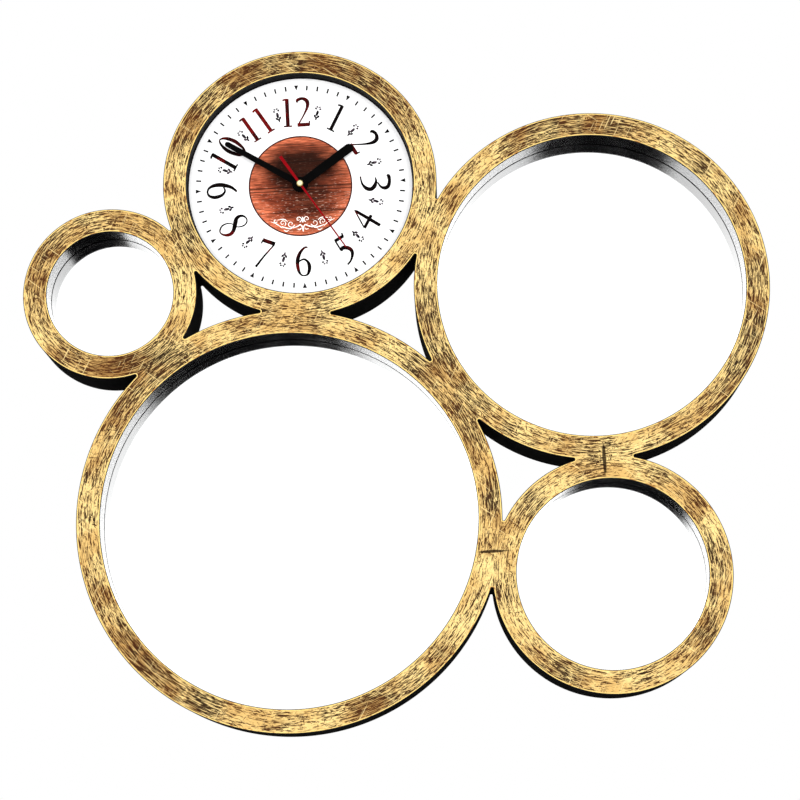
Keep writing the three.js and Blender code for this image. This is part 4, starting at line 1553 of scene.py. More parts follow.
@dataclass(frozen=True)
class Screw:
    """A screw with a cross recess, seen from behind: a domed washer head of a height, or a flat countersunk one."""

    kind: str
    head: float
    steps: int
    cross_width: float
    cross_reach: float
    cross_depth: float
    cross_slopes: Pair
    length: float = 0.0
    dome: float = 0.0
    dome_rim: float = 0.35
    bow: float = 0.7
    shank: float = 1.2

    def radii(self) -> Array:
        """The radii of the head's rows, in two stretches where a domed head has its recess in the inner one."""
        inner, outer = np.linspace(0, self.cross_reach, 10), np.linspace(self.cross_reach, self.head, 9)[1:]
        return np.concatenate([inner, outer]) if self.dome else np.linspace(0, self.head, 14)

    def build(self, node: str, steel: Material) -> None:
        """Makes one screw.

        The dome's height over its underside at radius r is h * (rim + (1 - rim) * cos(pi r / 2R)^bow), and the
        recess is taken out of it. A flat head is a cone of 45 degrees.

        Args:
            node: the screw's CAD node.
            steel: its finish.
        """
        at, (top, tip) = middle_of(node), heights_of(node)
        radius = self.radii()[:, None]
        bow = np.cos(np.clip(radius / self.head, 0, 1) * QUARTER_TURN) ** self.bow
        dome = self.dome * (self.dome_rim + (1 - self.dome_rim) * bow)
        under = tip - self.length if self.dome else top
        neck = [self.shank, under] if self.dome else [self.shank, top + self.head - self.shank]
        rim = [[self.head, under - dome[-1, 0]], [self.head, under]][: 2 if self.dome else 1]
        plan = radius[..., None] * directions(all_round(self.steps))
        recess = cross_recess(plan, self.cross_width, self.cross_reach, self.cross_slopes)
        skin = Skin()
        skin.grid(lift(at + plan, under - dome + self.cross_depth * recess))
        skin.turned(np.array([*rim, neck, [self.shank, tip - self.shank], [0, tip]]), at, self.steps)
        settle(make_piece(f"{self.kind}_{node}", skin, [steel], 32), "root", "steel", node)


@dataclass
class Backing:
    """What lies in a ring from behind: a mirror or the dial's board, held by washer-head screws."""

    finishes: Finishes
    ring: Ring
    arc_step: float = 2.0
    glass_arris: float = 0.35
    glass_flat_below: float = 1.0
    board_arris: float = 0.3
    hole_steps: int = 48
    screw: Screw = Screw("washer", 5.0, 48, 0.75, 2.1, 0.95, (0.25, 0.35), 9.0, 1.6)

    def mirror(self) -> None:
        """Clear glass in front and at the edge, silver behind."""
        node = self.ring.holds
        low, high = heights_of(node)
        radius = radius_of(node)
        steps = int(FULL_TURN * radius / self.arc_step)
        side = slab_profile(low, high, self.glass_arris) + [radius, 0]
        skin = Skin()
        skin.turned(np.concatenate([[[0, high]], side]), self.ring.centre, steps)
        skin.turned(np.array([side[-1], [0, low]]), self.ring.centre, steps, 1)
        coats = [self.finishes.glass, self.finishes.silver]
        piece = make_piece(f"glass_{self.ring.name.value}", skin, coats, self.glass_flat_below)
        settle(piece, "root", "mirror", node)

    def board(self, hole: float = 0.0) -> None:
        """The hardboard disc, with a hole for the movement's bush where there is one.

        Args:
            hole: the hole's radius, or 0.
        """
        node = self.ring.board
        radius = radius_of(node)
        loops = [circle_loop(radius, self.ring.centre, int(FULL_TURN * radius / self.arc_step))]
        if hole:
            loops.append(circle_loop(hole, self.ring.centre, self.hole_steps, True))
        skin = Skin()
        skin.plate(loops, slab_profile(*heights_of(node), self.board_arris))
        piece = make_piece(f"backing_{self.ring.name.value}", skin, [self.finishes.board])
        settle(piece, "root", "backing_board", node)

    def build(self, hole: float) -> None:
        """The mirror, if the ring holds one, then the board and all the ring's screws.

        Args:
            hole: the radius of the hole for the movement's bush in the dial's board.
        """
        is_clock = self.ring.name is RingName.CLOCK
        if not is_clock:
            self.mirror()
        self.board(hole if is_clock else 0.0)
        for number in range(1, self.ring.screws + 1):
            self.screw.build(f"screw_{self.ring.name.value}_{number}", self.finishes.screw_steel)


class Side(Enum):
    """The two sides that a hanger can be on."""

    LEFT = "left"
    RIGHT = "right"


@dataclass
class Hangers:
    """The two keyhole plates on the moulding's back, and their countersunk screws."""

    finishes: Finishes
    width: float = 12.0
    length: float = 36.0
    corner: float = 3.0
    edge: float = 0.2
    keyhole: float = 4.2
    slot: float = 2.2
    rise: float = 7.0
    screw_hole: float = 2.9
    screw_hole_deep: float = 1.5
    steps: int = 40
    screw: Screw = Screw("flat", 2.6, 40, 0.55, 1.7, 0.9, (0.2, 0.3))

    def screws_of(self, side: Side) -> list[str]:
        """The names of a plate's two screws, the lower one first."""
        return [f"hanger_{side.value}_screw_{number}" for number in (1, 2)]

    def posts(self) -> list[Array]:
        """Where the hangers' screws stand."""
        return [middle_of(node) for side in Side for node in self.screws_of(side)]

    def front(self) -> float:
        """The height of the plates' front faces."""
        return heights_of("hanger_left")[1]

    def keyhole_loop(self, at: Array) -> Loop:
        """A round hole with a round-ended slot above it, counter-clockwise.

        The slot leaves the hole where its half width meets the circle, at asin(slot / radius) from the top.

        Args:
            at: the middle of the round hole.

        Returns:
            The hole's rim.
        """
        lean = math.asin(self.slot / self.keyhole)
        ends = np.linspace(QUARTER_TURN + lean, QUARTER_TURN - lean + FULL_TURN, self.steps)
        hole = directions(ends) * self.keyhole
        end = directions(np.linspace(0, math.pi, 16)) * self.slot + [0, self.rise]
        return drawn_loop(at + np.concatenate([hole, end]), True)

    def plate(self, side: Side) -> None:
        """One plate, turned as its two screws stand.

        Args:
            side: which plate.
        """
        node = f"hanger_{side.value}"
        low, high = heights_of(node)
        lower, upper = (middle_of(screw) for screw in self.screws_of(side))
        axis = upper - lower
        at = (lower + upper) / 2
        box = rounded_box(self.width, self.length, self.corner)
        outline = drawn_loop(at + turn_plan(box, math.atan2(axis[1], axis[0]) - QUARTER_TURN))
        rims = [outline, self.keyhole_loop(at)]
        sinks = [circle_loop(self.screw_hole, spot, self.steps, True) for spot in (lower, upper)]
        edge = slab_profile(low, high, self.edge)
        sunk = self.screw_hole - self.screw_hole_deep
        skin = Skin()
        for rim in rims:
            skin.wall(rim, edge)
        for sink in sinks:
            skin.wall(sink, np.array([[-sunk, high], [0, low]]))
        for offset, (inset, height) in ((sunk, (edge[0][0], high)), (0, (edge[-1][0], low))):
            skin.fill([rim.moved(inset) for rim in rims] + [sink.moved(offset) for sink in sinks], height)
        settle(make_piece(f"keyhole_plate_{side.value}", skin, [self.finishes.zinc]), "root", "steel", node)

    def build(self) -> None:
        """Both plates and their four screws."""
        for side in Side:
            self.plate(side)
            for node in self.screws_of(side):
                self.screw.build(node, self.finishes.screw_steel)


# The dial


@dataclass(frozen=True)
class Stroke:
    """A pen stroke through (x, z, width) points on a numeral's own plan; smooth ones bend through their points."""

    points: tuple[Triple, ...]
    smooth: bool = True


def straight(x0: float, z0: float, x1: float, z1: float, width: float, end_width: float | None = None) -> Stroke:
    """A straight stroke between two points."""
    return Stroke(((x0, z0, width), (x1, z1, width if end_width is None else end_width)), False)


def one(x: float, top: float, foot: float, lean: float, width: float = 2.1) -> tuple[Stroke, ...]:
    """The figure one: a stem with a flag at the top and a fine foot.

    Args:
        x: the place of its top.
        top: the height of its top.
        foot: the height of its foot.
        lean: how far its foot stands to the left.
        width: the stem's width.

    Returns:
        Its strokes.
    """
    return (
        straight(x - lean, foot, x, top, width),
        Stroke(((x - 3.6, top - 1.1, 1.0), (x - 1.8, top - 0.5, 1.1), (x + width / 2 - 0.1, top - 0.55, 1.2))),
        straight(x - lean - 3.4, foot, x - lean + 3.4, foot, 0.9),
    )


def two(x: float, z: float) -> tuple[Stroke, ...]:
    """The figure two: a hooked arc, a fine diagonal and a heavy foot with a tick.

    Args:
        x: the place of its middle.
        z: the height of its middle.

    Returns:
        Its strokes.
    """
    return (
        Stroke((
            (x - 4.5, z + 8.9, 0.9), (x - 4.1, z + 11.0, 1.8), (x - 0.6, z + 12.2, 1.7), (x + 3.0, z + 10.6, 2.2),
            (x + 4.1, z + 7.4, 2.1), (x + 3.2, z + 3.4, 1.5), (x + 0.4, z - 2.2, 0.9), (x - 4.1, z - 9.6, 0.8),
        )),
        straight(x - 5.0, z - 10.2, x + 5.0, z - 10.2, 2.1),
        straight(x + 4.9, z - 11.0, x + 4.9, z - 7.1, 0.9, 0.7),
    )


NUMERALS: dict[int, tuple[Stroke, ...]] = {
    1: one(-0.7, 13.9, -8.7, -0.7, 1.9),
    2: two(-2.6, 1.2),
    3: (
        Stroke((
            (-4.9, 8.6, 0.8), (-4.4, 10.2, 1.9), (-0.2, 10.7, 1.8), (4, 9.6, 2.1), (5.6, 6.9, 2.1),
            (4.4, 3.6, 1.3), (0.5, 0.9, 0.7),
        )),
        Stroke((
            (-3.9, -0.7, 0.5), (-0.8, -0.2, 1.3), (3.2, -1.4, 2.2), (5.9, -4.4, 2.2), (5.2, -8.2, 2.1),
            (1.8, -11.2, 1.3), (-2, -12.4, 0.9), (-5.2, -12.8, 0.9),
        )),
    ),
    4: (
        Stroke(((1.7, 13.3, 0.5), (1.4, 11, 1.6), (0.6, 0, 1.9), (-0.3, -11.3, 1.8)), False),
        straight(1.4, 12.6, -7.9, -0.6, 0.8),
        straight(-8.1, -0.9, 4.2, -0.9, 1.7),
    ),
    5: (
        straight(-1.6, 7.4, 6.5, 7.4, 1.8),
        straight(6.2, 7, 6.7, 10.2, 0.9),
        straight(-1.2, 7.6, -1.5, -1.5, 0.9),
        Stroke((
            (-1.9, -2, 1.7), (0.8, -0.9, 2.2), (4, -2.9, 2.2), (5.6, -6.1, 2), (4.5, -9.6, 1.7),
            (0.8, -13.2, 1.1), (-3.4, -14.8, 1),
        )),
    ),
    6: (
        Stroke((
            (3.6, 10.1, 0.9), (1, 9.8, 1.2), (-2.5, 6.2, 1.7), (-4.6, 1.2, 2.1), (-5.2, -3.8, 2),
            (-4.3, -9.5, 1.6), (-2.5, -12.6, 1), (0, -13.4, 0.8), (2.6, -12.5, 1.2), (4.1, -9.4, 1.8),
            (4.4, -5.6, 2), (3.2, -2, 1.5), (0.4, 0.2, 1.1), (-2.5, -0.6, 0.9), (-4.4, -1.9, 0.8),
        )),
    ),
    7: (
        straight(-6.4, 7.9, 4.2, 9.2, 2.2),
        straight(-6.2, 8, -6, 4.7, 0.9, 0.7),
        Stroke(((3.9, 9, 1), (3.2, 5.6, 0.9), (0.9, -3.8, 1), (-1, -14.6, 1.4)), False),
    ),
    8: (
        Stroke((
            (-0.4, -0.8, 0.6), (1.9, 1.9, 0.7), (2.9, 5.9, 0.8), (1.6, 9.2, 0.8), (-1.3, 10.4, 0.8),
            (-4.5, 9, 1.3), (-5.8, 5.8, 1.8), (-4.9, 3, 2.2), (-2, 0.1, 2.4), (1.5, -3.4, 2.1),
            (3, -6.6, 2), (2.6, -9.6, 1.8), (0.5, -12.5, 1.2), (-2.4, -13.8, 0.8), (-4.9, -12.4, 0.9),
            (-6.6, -8.8, 0.9), (-5.6, -4.4, 0.7), (-2.9, -1.4, 0.6), (-0.4, -0.8, 0.6),
        )),
    ),
    9: (
        Stroke((
            (3.4, 1.3, 0.7), (0, -0.2, 1), (-2.6, 0.6, 1.3), (-4.8, 3.6, 1.8), (-5.8, 8.4, 2),
            (-4.4, 12.6, 1.4), (-1.1, 14.1, 1), (2.1, 12.7, 1.3), (4.1, 8.8, 2), (4.5, 3.4, 2.4),
            (3.6, -1.3, 2.1), (2.1, -5.2, 1.8), (0, -8, 1.4), (-1.9, -9.9, 1.2),
        )),
    ),
    10: (
        *one(-9, 15.2, -7.5, 1.3),
        Stroke((
            (4.3, 15.2, 0.8), (1.7, 12.4, 1.3), (-0.1, 7.4, 1.9), (-0.5, 2.6, 2.1), (0.3, -3.4, 1.9),
            (1.8, -7.2, 1.2), (4.1, -8.6, 0.8), (6.9, -5.8, 1.3), (8.7, -0.2, 1.9), (9.3, 4.6, 2.1),
            (8.5, 10.2, 1.9), (6.8, 13.8, 1.2), (4.3, 15.2, 0.8),
        )),
    ),
    11: (*one(-9.1, 12.7, -9.9, -0.7), *one(4.1, 13.4, -9.5, -0.8)),
    12: (*one(-8.2, 12.5, -10.9, -0.1), *two(4.7, 0)),
}


def bend_through(points: Array, per_span: int = 8) -> Array:
    """A smooth line through points, by the cubic 0.5 (2b + (c - a) t + (2a - 5b + 4c - d) t^2 + (3b - a - 3c + d) t^3).

    Args:
        points: the points to pass, with any number of columns.
        per_span: steps from each point to the next.

    Returns:
        The points of the line.
    """
    padded = np.concatenate([2 * points[:1] - points[1:2], points, 2 * points[-1:] - points[-2:-1]])
    if np.allclose(points[0], points[-1]):
        padded[0], padded[-1] = points[-2], points[1]
    t = (np.arange(per_span) / per_span)[None, :, None]
    a, b, c, d = (part[:, None] for part in (padded[:-3], padded[1:-2], padded[2:-1], padded[3:]))
    curve = 0.5 * (2 * b + (c - a) * t + (2 * a - 5 * b + 4 * c - d) * t**2 + (3 * b - a - 3 * c + d) * t**3)
    return np.concatenate([curve.reshape(-1, points.shape[1]), points[-1:]])


def ribbon(skin: Skin, line: Array, low: float, high: float) -> None:
    """A flat closed ribbon along a line of (x, z, width), between two heights.

    The two edges lie at p + n w / 2 and p - n w / 2, with n square to the line, and the section is a box.

    Args:
        skin: what the ribbon is added to.
        line: the line's points and widths.
        low: the height of its underside.
        high: the height of its top.
    """
    flat, half = line[:, :2], line[:, 2:] / 2
    along = np.gradient(flat, axis=0)
    along /= np.linalg.norm(along, axis=1, keepdims=True)
    side = np.stack([-along[:, 1], along[:, 0]], axis=-1) * half
    left, right = flat + side, flat - side
    section = [lift(left, high), lift(right, high), lift(right, low), lift(left, low)]
    skin.grid(np.stack(section, axis=1))
    ends = np.array([[0, 1, 2, 3], [-4, -3, -2, -1]])
    skin.add(skin.points[-1][ends], np.arange(8).reshape(2, 4), 0)


@dataclass
class Dial:
    """The printed dial: minute marks, numerals, small ornaments and a disc of printed wood with a scroll."""

    finishes: Finishes
    shaft: Array
    face: float
    paper_edge: float = 0.08
    mark_radius: float = 83.4
    mark_length: float = 4.1
    mark_width: float = 1.35
    hour_mark_width: float = 3.4
    hour_mark_stretch: float = 1.1
    rim_line: float = 91.3
    rim_steps: int = 400
    numeral_radius: float = 62.0
    ornament_radius: float = 63.0
    wood_radius: float = 42.4
    wood_steps: int = 240
    hole: float = 4.2
    hole_steps: int = 48
    ink: float = 0.04
    layer: float = 0.003
    inward_hours: tuple[int, ...] = (4, 5, 6, 7, 8)
    boldness: float = 1.5
    sprig_boldness: float = 2.5
    scroll_boldness: float = 0.58
    scroll_place: Pair = (0.6, -31.2)

    def at(self, bearing: float, points: Array, radius: float, inward: bool = False) -> Array:
        """Puts points drawn upright on the dial, with their tops out or in.

        Args:
            bearing: where they go, in degrees clockwise from the top.
            points: the points, round their own middle.
            radius: the distance of that middle from the shaft.
            inward: whether their tops point to the shaft.

        Returns:
            The points on the plan.
        """
        drawn = -points if inward else points.copy()
        drawn[:, 1] += radius
        return self.shaft + turn_plan(drawn, -math.radians(bearing))

    def printed(self) -> Array:
        """The side of a layer of ink on the paper, as (offset, height) points."""
        return np.array([[0, self.face + self.ink], [0, self.face]])

    def show(self, name: str, skin: Skin, finish: Material, *stands_for: str) -> None:
        """Makes a piece of the dial, on the clock's fixed body."""
        settle(make_piece(name, skin, [finish]), "root", "dial_print", *stands_for)

    def ring_print(self, name: str, radius: float, hole: float, steps: tuple[int, int], finish: Material) -> None:
        """A printed disc or ring round the shaft.

        Args:
            name: the piece's name.
            radius: its outer radius.
            hole: its inner radius.
            steps: how many steps go round the outer and the inner edge.
            finish: its ink.
        """
        skin = Skin()
        loops = [circle_loop(radius, self.shaft, steps[0]), circle_loop(hole, self.shaft, steps[1], True)]
        skin.plate(loops, self.printed())
        self.show(name, skin, finish)

    def paper(self) -> None:
        """The white disc under everything."""
        node = "dial_print"
        loops = [
            circle_loop(radius_of(node), self.shaft, self.rim_steps),
            circle_loop(self.hole, self.shaft, self.hole_steps, True),
        ]
        skin = Skin()
        skin.plate(loops, slab_profile(*heights_of(node), self.paper_edge))
        self.show("dial_paper_disc", skin, self.finishes.paper, node)

    def minute_marks(self) -> None:
        """Sixty marks: strokes, and small triangles that point inwards at the hours."""
        half, length = self.mark_width / 2, self.mark_length / 2
        stroke = np.array([[-half, -length], [half, -length], [half, length], [-half, length]])
        broad, tall = self.hour_mark_width / 2, length * self.hour_mark_stretch
        arrow = np.array([[0, -tall], [broad, tall], [-broad, tall]])
        skin = Skin()
        for minute in range(60):
            shape = stroke if minute % 5 else arrow
            skin.plate([drawn_loop(self.at(minute * 6, shape, self.mark_radius))], self.printed())
        self.show("minute_marks", skin, self.finishes.marks)

    def numerals(self) -> None:
        """The hour numerals, each stroke a ribbon that swells and thins."""
        skin = Skin()
        for hour, strokes in NUMERALS.items():
            for number, stroke in enumerate(strokes):
                line = np.array(stroke.points)
                line = bend_through(line) if stroke.smooth else line
                plan = self.at(hour * 30, line[:, :2], self.numeral_radius, hour in self.inward_hours)
                top = self.face + self.ink + number * self.layer
                ribbon(skin, np.column_stack([plan, line[:, 2] * self.boldness]), self.face, top)
        self.show("hour_numerals", skin, self.finishes.numerals)

    def ornament(self) -> list[Array]:
        """A small sprig, drawn upright: a stem with a barbed head towards the shaft and two pairs of leaves behind.

        Returns:
            Its lines of (x, z, width).
        """
        stem = [[-0.1, 2.4, 0.45], [0.15, 1.0, 0.85], [-0.1, -0.8, 0.85], [0.0, -2.2, 0.6]]
        tip = [[0.0, -3.5, 0.5], [0.05, -4.8, 0.6], [0.0, -6.2, 0.2]]
        barb = [[2.1, -1.6, 0.35], [1.35, -2.8, 0.7], [0.1, -4.0, 0.4]]
        low = [[2.1, 3.1, 0.4], [1.75, 3.8, 0.85], [1.1, 4.1, 0.4]]
        high = [[1.2, 4.9, 0.4], [0.95, 5.4, 0.8], [0.5, 5.8, 0.4]]
        stem, tip, *sides = (bend_through(np.array(line), 4) for line in (stem, tip, barb, low, high))
        mirrored = [line * [side, 1, 1] for line in sides for side in (1, -1)]
        return [line * [1, 1, self.sprig_boldness] for line in [stem, tip, *mirrored]]

    def ornaments(self) -> None:
        """Twelve ornaments, at the half hours."""
        skin = Skin()
        for hour in range(12):
            for number, line in enumerate(self.ornament()):
                plan = self.at(hour * 30 + 15, line[:, :2], self.ornament_radius)
                top = self.face + self.ink + min(number, 5) * self.layer
                ribbon(skin, np.column_stack([plan, line[:, 2]]), self.face, top)
        self.show("half_hour_ornaments", skin, self.finishes.ornaments)

    def volute(self, x: float, z: float, radius: float, start: float, turns: float, width: float) -> Array:
        """A spiral from its outer end inwards: c + r (1 - 0.82 t) (cos, sin)(start + turns * t), thinning on its way.

        Args:
            x: the place of its middle.
            z: the height of its middle.
            radius: its outer radius.
            start: the angle of its outer end in degrees.
            turns: how often it goes round, counter-clockwise.
            width: the line's width at the outer end.

        Returns:
            The line's points and widths.
        """
        t = np.linspace(0, 1, 22)
        angle = math.radians(start) + turns * FULL_TURN * t
        spiral = radius * (1 - 0.82 * t)[:, None] * directions(angle) + [x, z]
        return np.column_stack([spiral, width * (1 - 0.45 * t)])

    def scroll_lines(self) -> list[Array]:
        """Half of a traditional scroll, right of its middle: volutes, leaves and a pendant.

        Returns:
            Its lines of (x, z, width).
        """
        curves = [
            self.volute(3.3, 3.2, 2.6, 250, -1.2, 1.0), self.volute(9.6, -0.4, 3.2, 200, 1.1, 1.0),
            self.volute(16.4, 0.6, 2.7, 230, -1.15, 0.9), self.volute(22.2, 2.9, 1.7, 210, 1.0, 0.8),
        ]
        drawn = [
            [[0.7, -3.4, 0.8], [2.0, -1.6, 1.2], [4.6, -2.8, 1.3], [8.2, -3.9, 0.9]],
            [[6.6, -1.4, 0.9], [9.8, -4.2, 1.4], [13.6, -3.6, 1.2], [17.4, -2.2, 0.8]],
            [[12.4, 1.6, 0.6], [14.4, 3.4, 1.1], [17.6, 3.9, 0.9], [20.6, 3.3, 0.6]],
            [[17.0, -3.4, 0.6], [19.6, -1.2, 1.1], [22.6, 0.8, 0.8], [26.0, 2.2, 0.4]],
            [[1.2, -4.2, 0.7], [2.6, -5.4, 1.2], [4.6, -5.0, 0.5]],
            [[0.0, -2.4, 1.0], [0.0, -4.6, 2.4], [0.0, -7.4, 0.5]],
            [[11.6, -5.6, 0.5], [13.6, -6.4, 1.2], [15.8, -5.2, 0.5]],
            [[0.0, 0.2, 0.5], [0.5, 2.4, 1.3], [0.0, 5.2, 0.4]],
        ]
        return curves + [bend_through(np.array(line)) for line in drawn]

    def scroll(self) -> None:
        """The white scroll below the hub, the same on both sides."""
        skin = Skin()
        floor = self.face + self.ink
        for side in (1, -1):
            for number, line in enumerate(self.scroll_lines()):
                plan = self.shaft + self.scroll_place + line[:, :2] * [side, 1]
                top = floor + self.ink + number * self.layer
                ribbon(skin, np.column_stack([plan, line[:, 2] * self.scroll_boldness]), floor, top)
        self.show("scroll_print", skin, self.finishes.scroll)

    def build(self) -> None:
        """The paper and everything printed on it."""
        steps, line = (self.rim_steps, self.rim_steps), self.rim_line
        wood = PrintedWood(tuple(self.shaft), self.wood_radius).build()
        self.paper()
        # A dark ring in the marks' ink round the paper's edge, just inside the moulding's black edge.
        self.ring_print("dial_rim_line", line + self.mark_width, line, steps, self.finishes.marks)
        self.minute_marks()
        self.numerals()
        self.ornaments()
        self.ring_print("wood_print", self.wood_radius, self.hole, (self.wood_steps, self.hole_steps), wood)
        self.scroll()


# Hands


@dataclass(frozen=True)
class Baton:
    """The sizes of a black hand: a blade with a round tip and a round hub, and its angle in degrees from twelve."""

    length: float
    tip: float
    root: float
    hub: float
    bore: float
    angle: float

    def outline(self) -> Array:
        """The hand's outline, pointing up.

        The blade's half width at height z is root / 2 + (tip - root) / 2 * z / (length - tip / 2), and it leaves the
        hub where that half width meets the circle.

        Returns:
            Its points.
        """
        lean = math.asin(self.root / 2 / self.hub)
        around = directions(np.linspace(QUARTER_TURN + lean, QUARTER_TURN - lean + FULL_TURN, 48)) * self.hub
        end = directions(np.linspace(0, math.pi, 25)) * (self.tip / 2) + [0, self.length - self.tip / 2]
        return np.concatenate([around, end])


@dataclass(frozen=True)
class Needle:
    """The sizes of the second hand: (height, width) pairs from its tail to its tip, its hub, and its angle."""

    widths: tuple[Pair, ...]
    hub: float
    bore: float
    angle: float
    hub_gap: float = 0.6

    def outline(self) -> Array:
        """The hand's outline: a square tail, a small hub and a tapering needle, pointing up.

        Returns:
            Its points.
        """
        heights, widths = np.array(self.widths).T
        hub = directions(np.linspace(-math.pi / 3, math.pi / 3, 13)) * self.hub
        levels = np.concatenate([[heights[0], hub[0, 1] - self.hub_gap], [hub[-1, 1] + self.hub_gap], heights[2:]])
        right = np.column_stack([np.interp(levels, heights, widths) / 2, levels])
        right = np.concatenate([right[:2], hub, right[2:]])
        return np.concatenate([right, right[::-1] * [-1, 1]])


@dataclass
class Hands:
    """The three hands and the cap in front of them."""

    finishes: Finishes
    shaft: Array
    edge: float = 0.16
    hour: Baton = Baton(53.7, 7.6, 7.2, 6.5, 2.7, 55.2)
    minute: Baton = Baton(70.8, 4.4, 5.4, 5.6, 1.8, 302.5)
    second: Needle = Needle(((-28.2, 2.7), (0.0, 2.0), (14.0, 1.4), (40.0, 1.3), (65.2, 1.1)), 2.55, 0.9, 147.6)
    bore_steps: int = 32
    cap_radius: float = 2.85
    cap_rim: float = 0.5
    cap_chamfer: float = 0.15
    cap_steps: int = 64

    def hand(self, node: str, shape: Baton | Needle, body: str, slot: str, paint: Material) -> None:
        """One hand: its outline turned to its hour, with rounded edges and a bored hub.

        Args:
            node: the hand's CAD node.
            shape: its sizes.
            body: the body that turns it.
            slot: its material slot.
            paint: its finish.
        """
        loops = [
            drawn_loop(self.shaft + turn_plan(shape.outline(), -math.radians(shape.angle))),
            circle_loop(shape.bore, self.shaft, self.bore_steps, True),
        ]
        skin = Skin()
        skin.plate(loops, slab_profile(*heights_of(node), self.edge))
        settle(make_piece(f"{node}_blade", skin, [paint]), body, slot, node)

    def cap(self) -> None:
        """The brass cap: a short rim under a dome, a quarter ellipse turned about the shaft."""
        low, high = heights_of("second_hand_cap")
        a = np.linspace(0, QUARTER_TURN, 14)
        rim = low + self.cap_rim
        dome = np.column_stack([self.cap_radius * np.cos(a), rim + (high - rim) * np.sin(a)])
        dome[-1, 0] = 0
        foot = [[0, low], [self.cap_radius - self.cap_chamfer, low], [self.cap_radius, low + self.cap_chamfer]]
        skin = Skin()
        skin.turned(np.concatenate([foot, dome]), self.shaft, self.cap_steps)
        piece = make_piece("brass_cap", skin, [self.finishes.cap_brass], 40)
        settle(piece, "seconds_arbor", "brass", "second_hand_cap")

    def build(self) -> None:
        """The hands from the dial outwards, then the cap."""
        black, red = self.finishes.black_paint, self.finishes.red_paint
        self.hand("hour_hand", self.hour, "hour_arbor", "black_hands", black)
        self.hand("minute_hand", self.minute, "minute_arbor", "black_hands", black)
        self.hand("second_hand", self.second, "seconds_arbor", "red_hand", red)
        self.cap()


# The movement


@dataclass
class Movement:
    """The quartz movement behind the dial: its battery in detail, the rest in better finishes."""

    finishes: Finishes
    nub: float = 1.1
    nub_radius: float = 2.7
    roll: float = 0.7
    end_inset: float = 1.6
    end_gap: float = 0.25
    steps: int = 64

    def dress(self) -> None:
        """Gives every CAD node that still shows its own procedural finish."""
        looks = self.finishes
        nodes_by_finish = (
            (looks.case, ("movement_case", "movement_cover")), (looks.brass, ("threaded_bush", "hex_nut")),
            (looks.rubber, ("rubber_washer",)), (looks.core_steel, ("stator",)), (looks.copper, ("coil",)),
            (looks.circuit, ("circuit_board",)), (looks.magnet, ("rotor",)),
            (looks.spring, ("quartz_crystal", "contact_positive", "contact_negative")),
            (looks.wheels, (
                "hour_wheel", "centre_wheel", "seconds_wheel", "third_wheel", "motion_wheel", "intermediate_wheel",
                "setting_knob",
            )),
        )
        for material, nodes in nodes_by_finish:
            for node in nodes:
                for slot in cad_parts[node].material_slots:
                    slot.link = "OBJECT"
                    slot.material = material
                log.info("%s: finished as %s", node, material.name)

    def battery(self) -> None:
        """The battery: a jacketed can with rolled edges and a positive nub, turned about x.

        A point at radius r and angle a stands at (x, c + r cos a, c + r sin a), and a rolled edge is a quarter
        circle in r and x.
        """
        low, high = box_of("battery")
        middle = (low + high) / 2
        radius, length = float(high[1] - low[1]) / 2, float(high[0] - low[0])
        shoulder = length - self.nub
        a = np.linspace(0, QUARTER_TURN, 6)
        core, roll, dent = radius - self.roll, self.roll, shoulder - self.end_gap
        negative = [[0, 0.3], [radius - self.end_inset, 0.3], [radius - 1.4, 0.0]]
        near = np.column_stack([core + roll * np.sin(a), roll - roll * np.cos(a)])
        far = np.column_stack([core + roll * np.cos(a), shoulder - roll + roll * np.sin(a)])
        positive = [
            [radius - self.end_inset, dent], [self.nub_radius + 0.5, dent], [self.nub_radius, shoulder],
            [self.nub_radius, length - self.end_gap], [self.nub_radius - self.end_gap, length], [0, length],
        ]
        profile = np.concatenate([negative, near, far, positive])
        first, last = len(negative) + len(near) - 1, len(negative) + len(near) + len(far) - 1
        turned = directions(all_round(self.steps))
        x = low[0] + np.broadcast_to(profile[:, 1:], (len(profile), self.steps))
        height = middle[2] + profile[:, :1] * turned[:, 0]
        points = lift(np.stack([x, middle[1] + profile[:, :1] * turned[:, 1]], axis=-1), height)
        skin = Skin()
        skin.grid(points[: first + 1], 1)
        skin.grid(points[first : last + 1])
        skin.grid(points[last:], 1)
        jacket = BatteryJacket(float(low[0]), float(high[0])).build()
        piece = make_piece("jacketed_battery", skin, [jacket, self.finishes.spring], 35)
        settle(piece, "root", "battery_jacket", "battery")

    def build(self) -> None:
        """The battery and the finishes."""
        self.battery()
        self.dress()


# Studio


@dataclass(frozen=True)
class Viewpoint:
    """Where the camera stands, in metres, and how it looks at the clock."""

    place: Triple = (0.02442, -1.89303, -0.45899)
    ahead: Triple = (-0.013604, 0.982161, 0.187551)
    above: Triple = (0.053702, -0.186580, 0.980971)
    focal_pixels: float = 2356.02
    image_width: float = 800.0
    sensor: float = 36.0

    def build(self) -> None:
        """Makes the camera and takes the picture through it."""
        lens = bpy.data.cameras.new("camera")
        lens.sensor_width = self.sensor
        lens.lens = self.focal_pixels / self.image_width * self.sensor
        camera = put_in_scene("camera", lens)
        ahead, above = Vector(self.ahead).normalized(), Vector(self.above).normalized()
        right = ahead.cross(above).normalized()
        axes = Matrix((right, above, -ahead)).transposed().to_4x4()
        camera.matrix_world = Matrix.Translation(self.place) @ axes
        bpy.context.scene.camera = camera


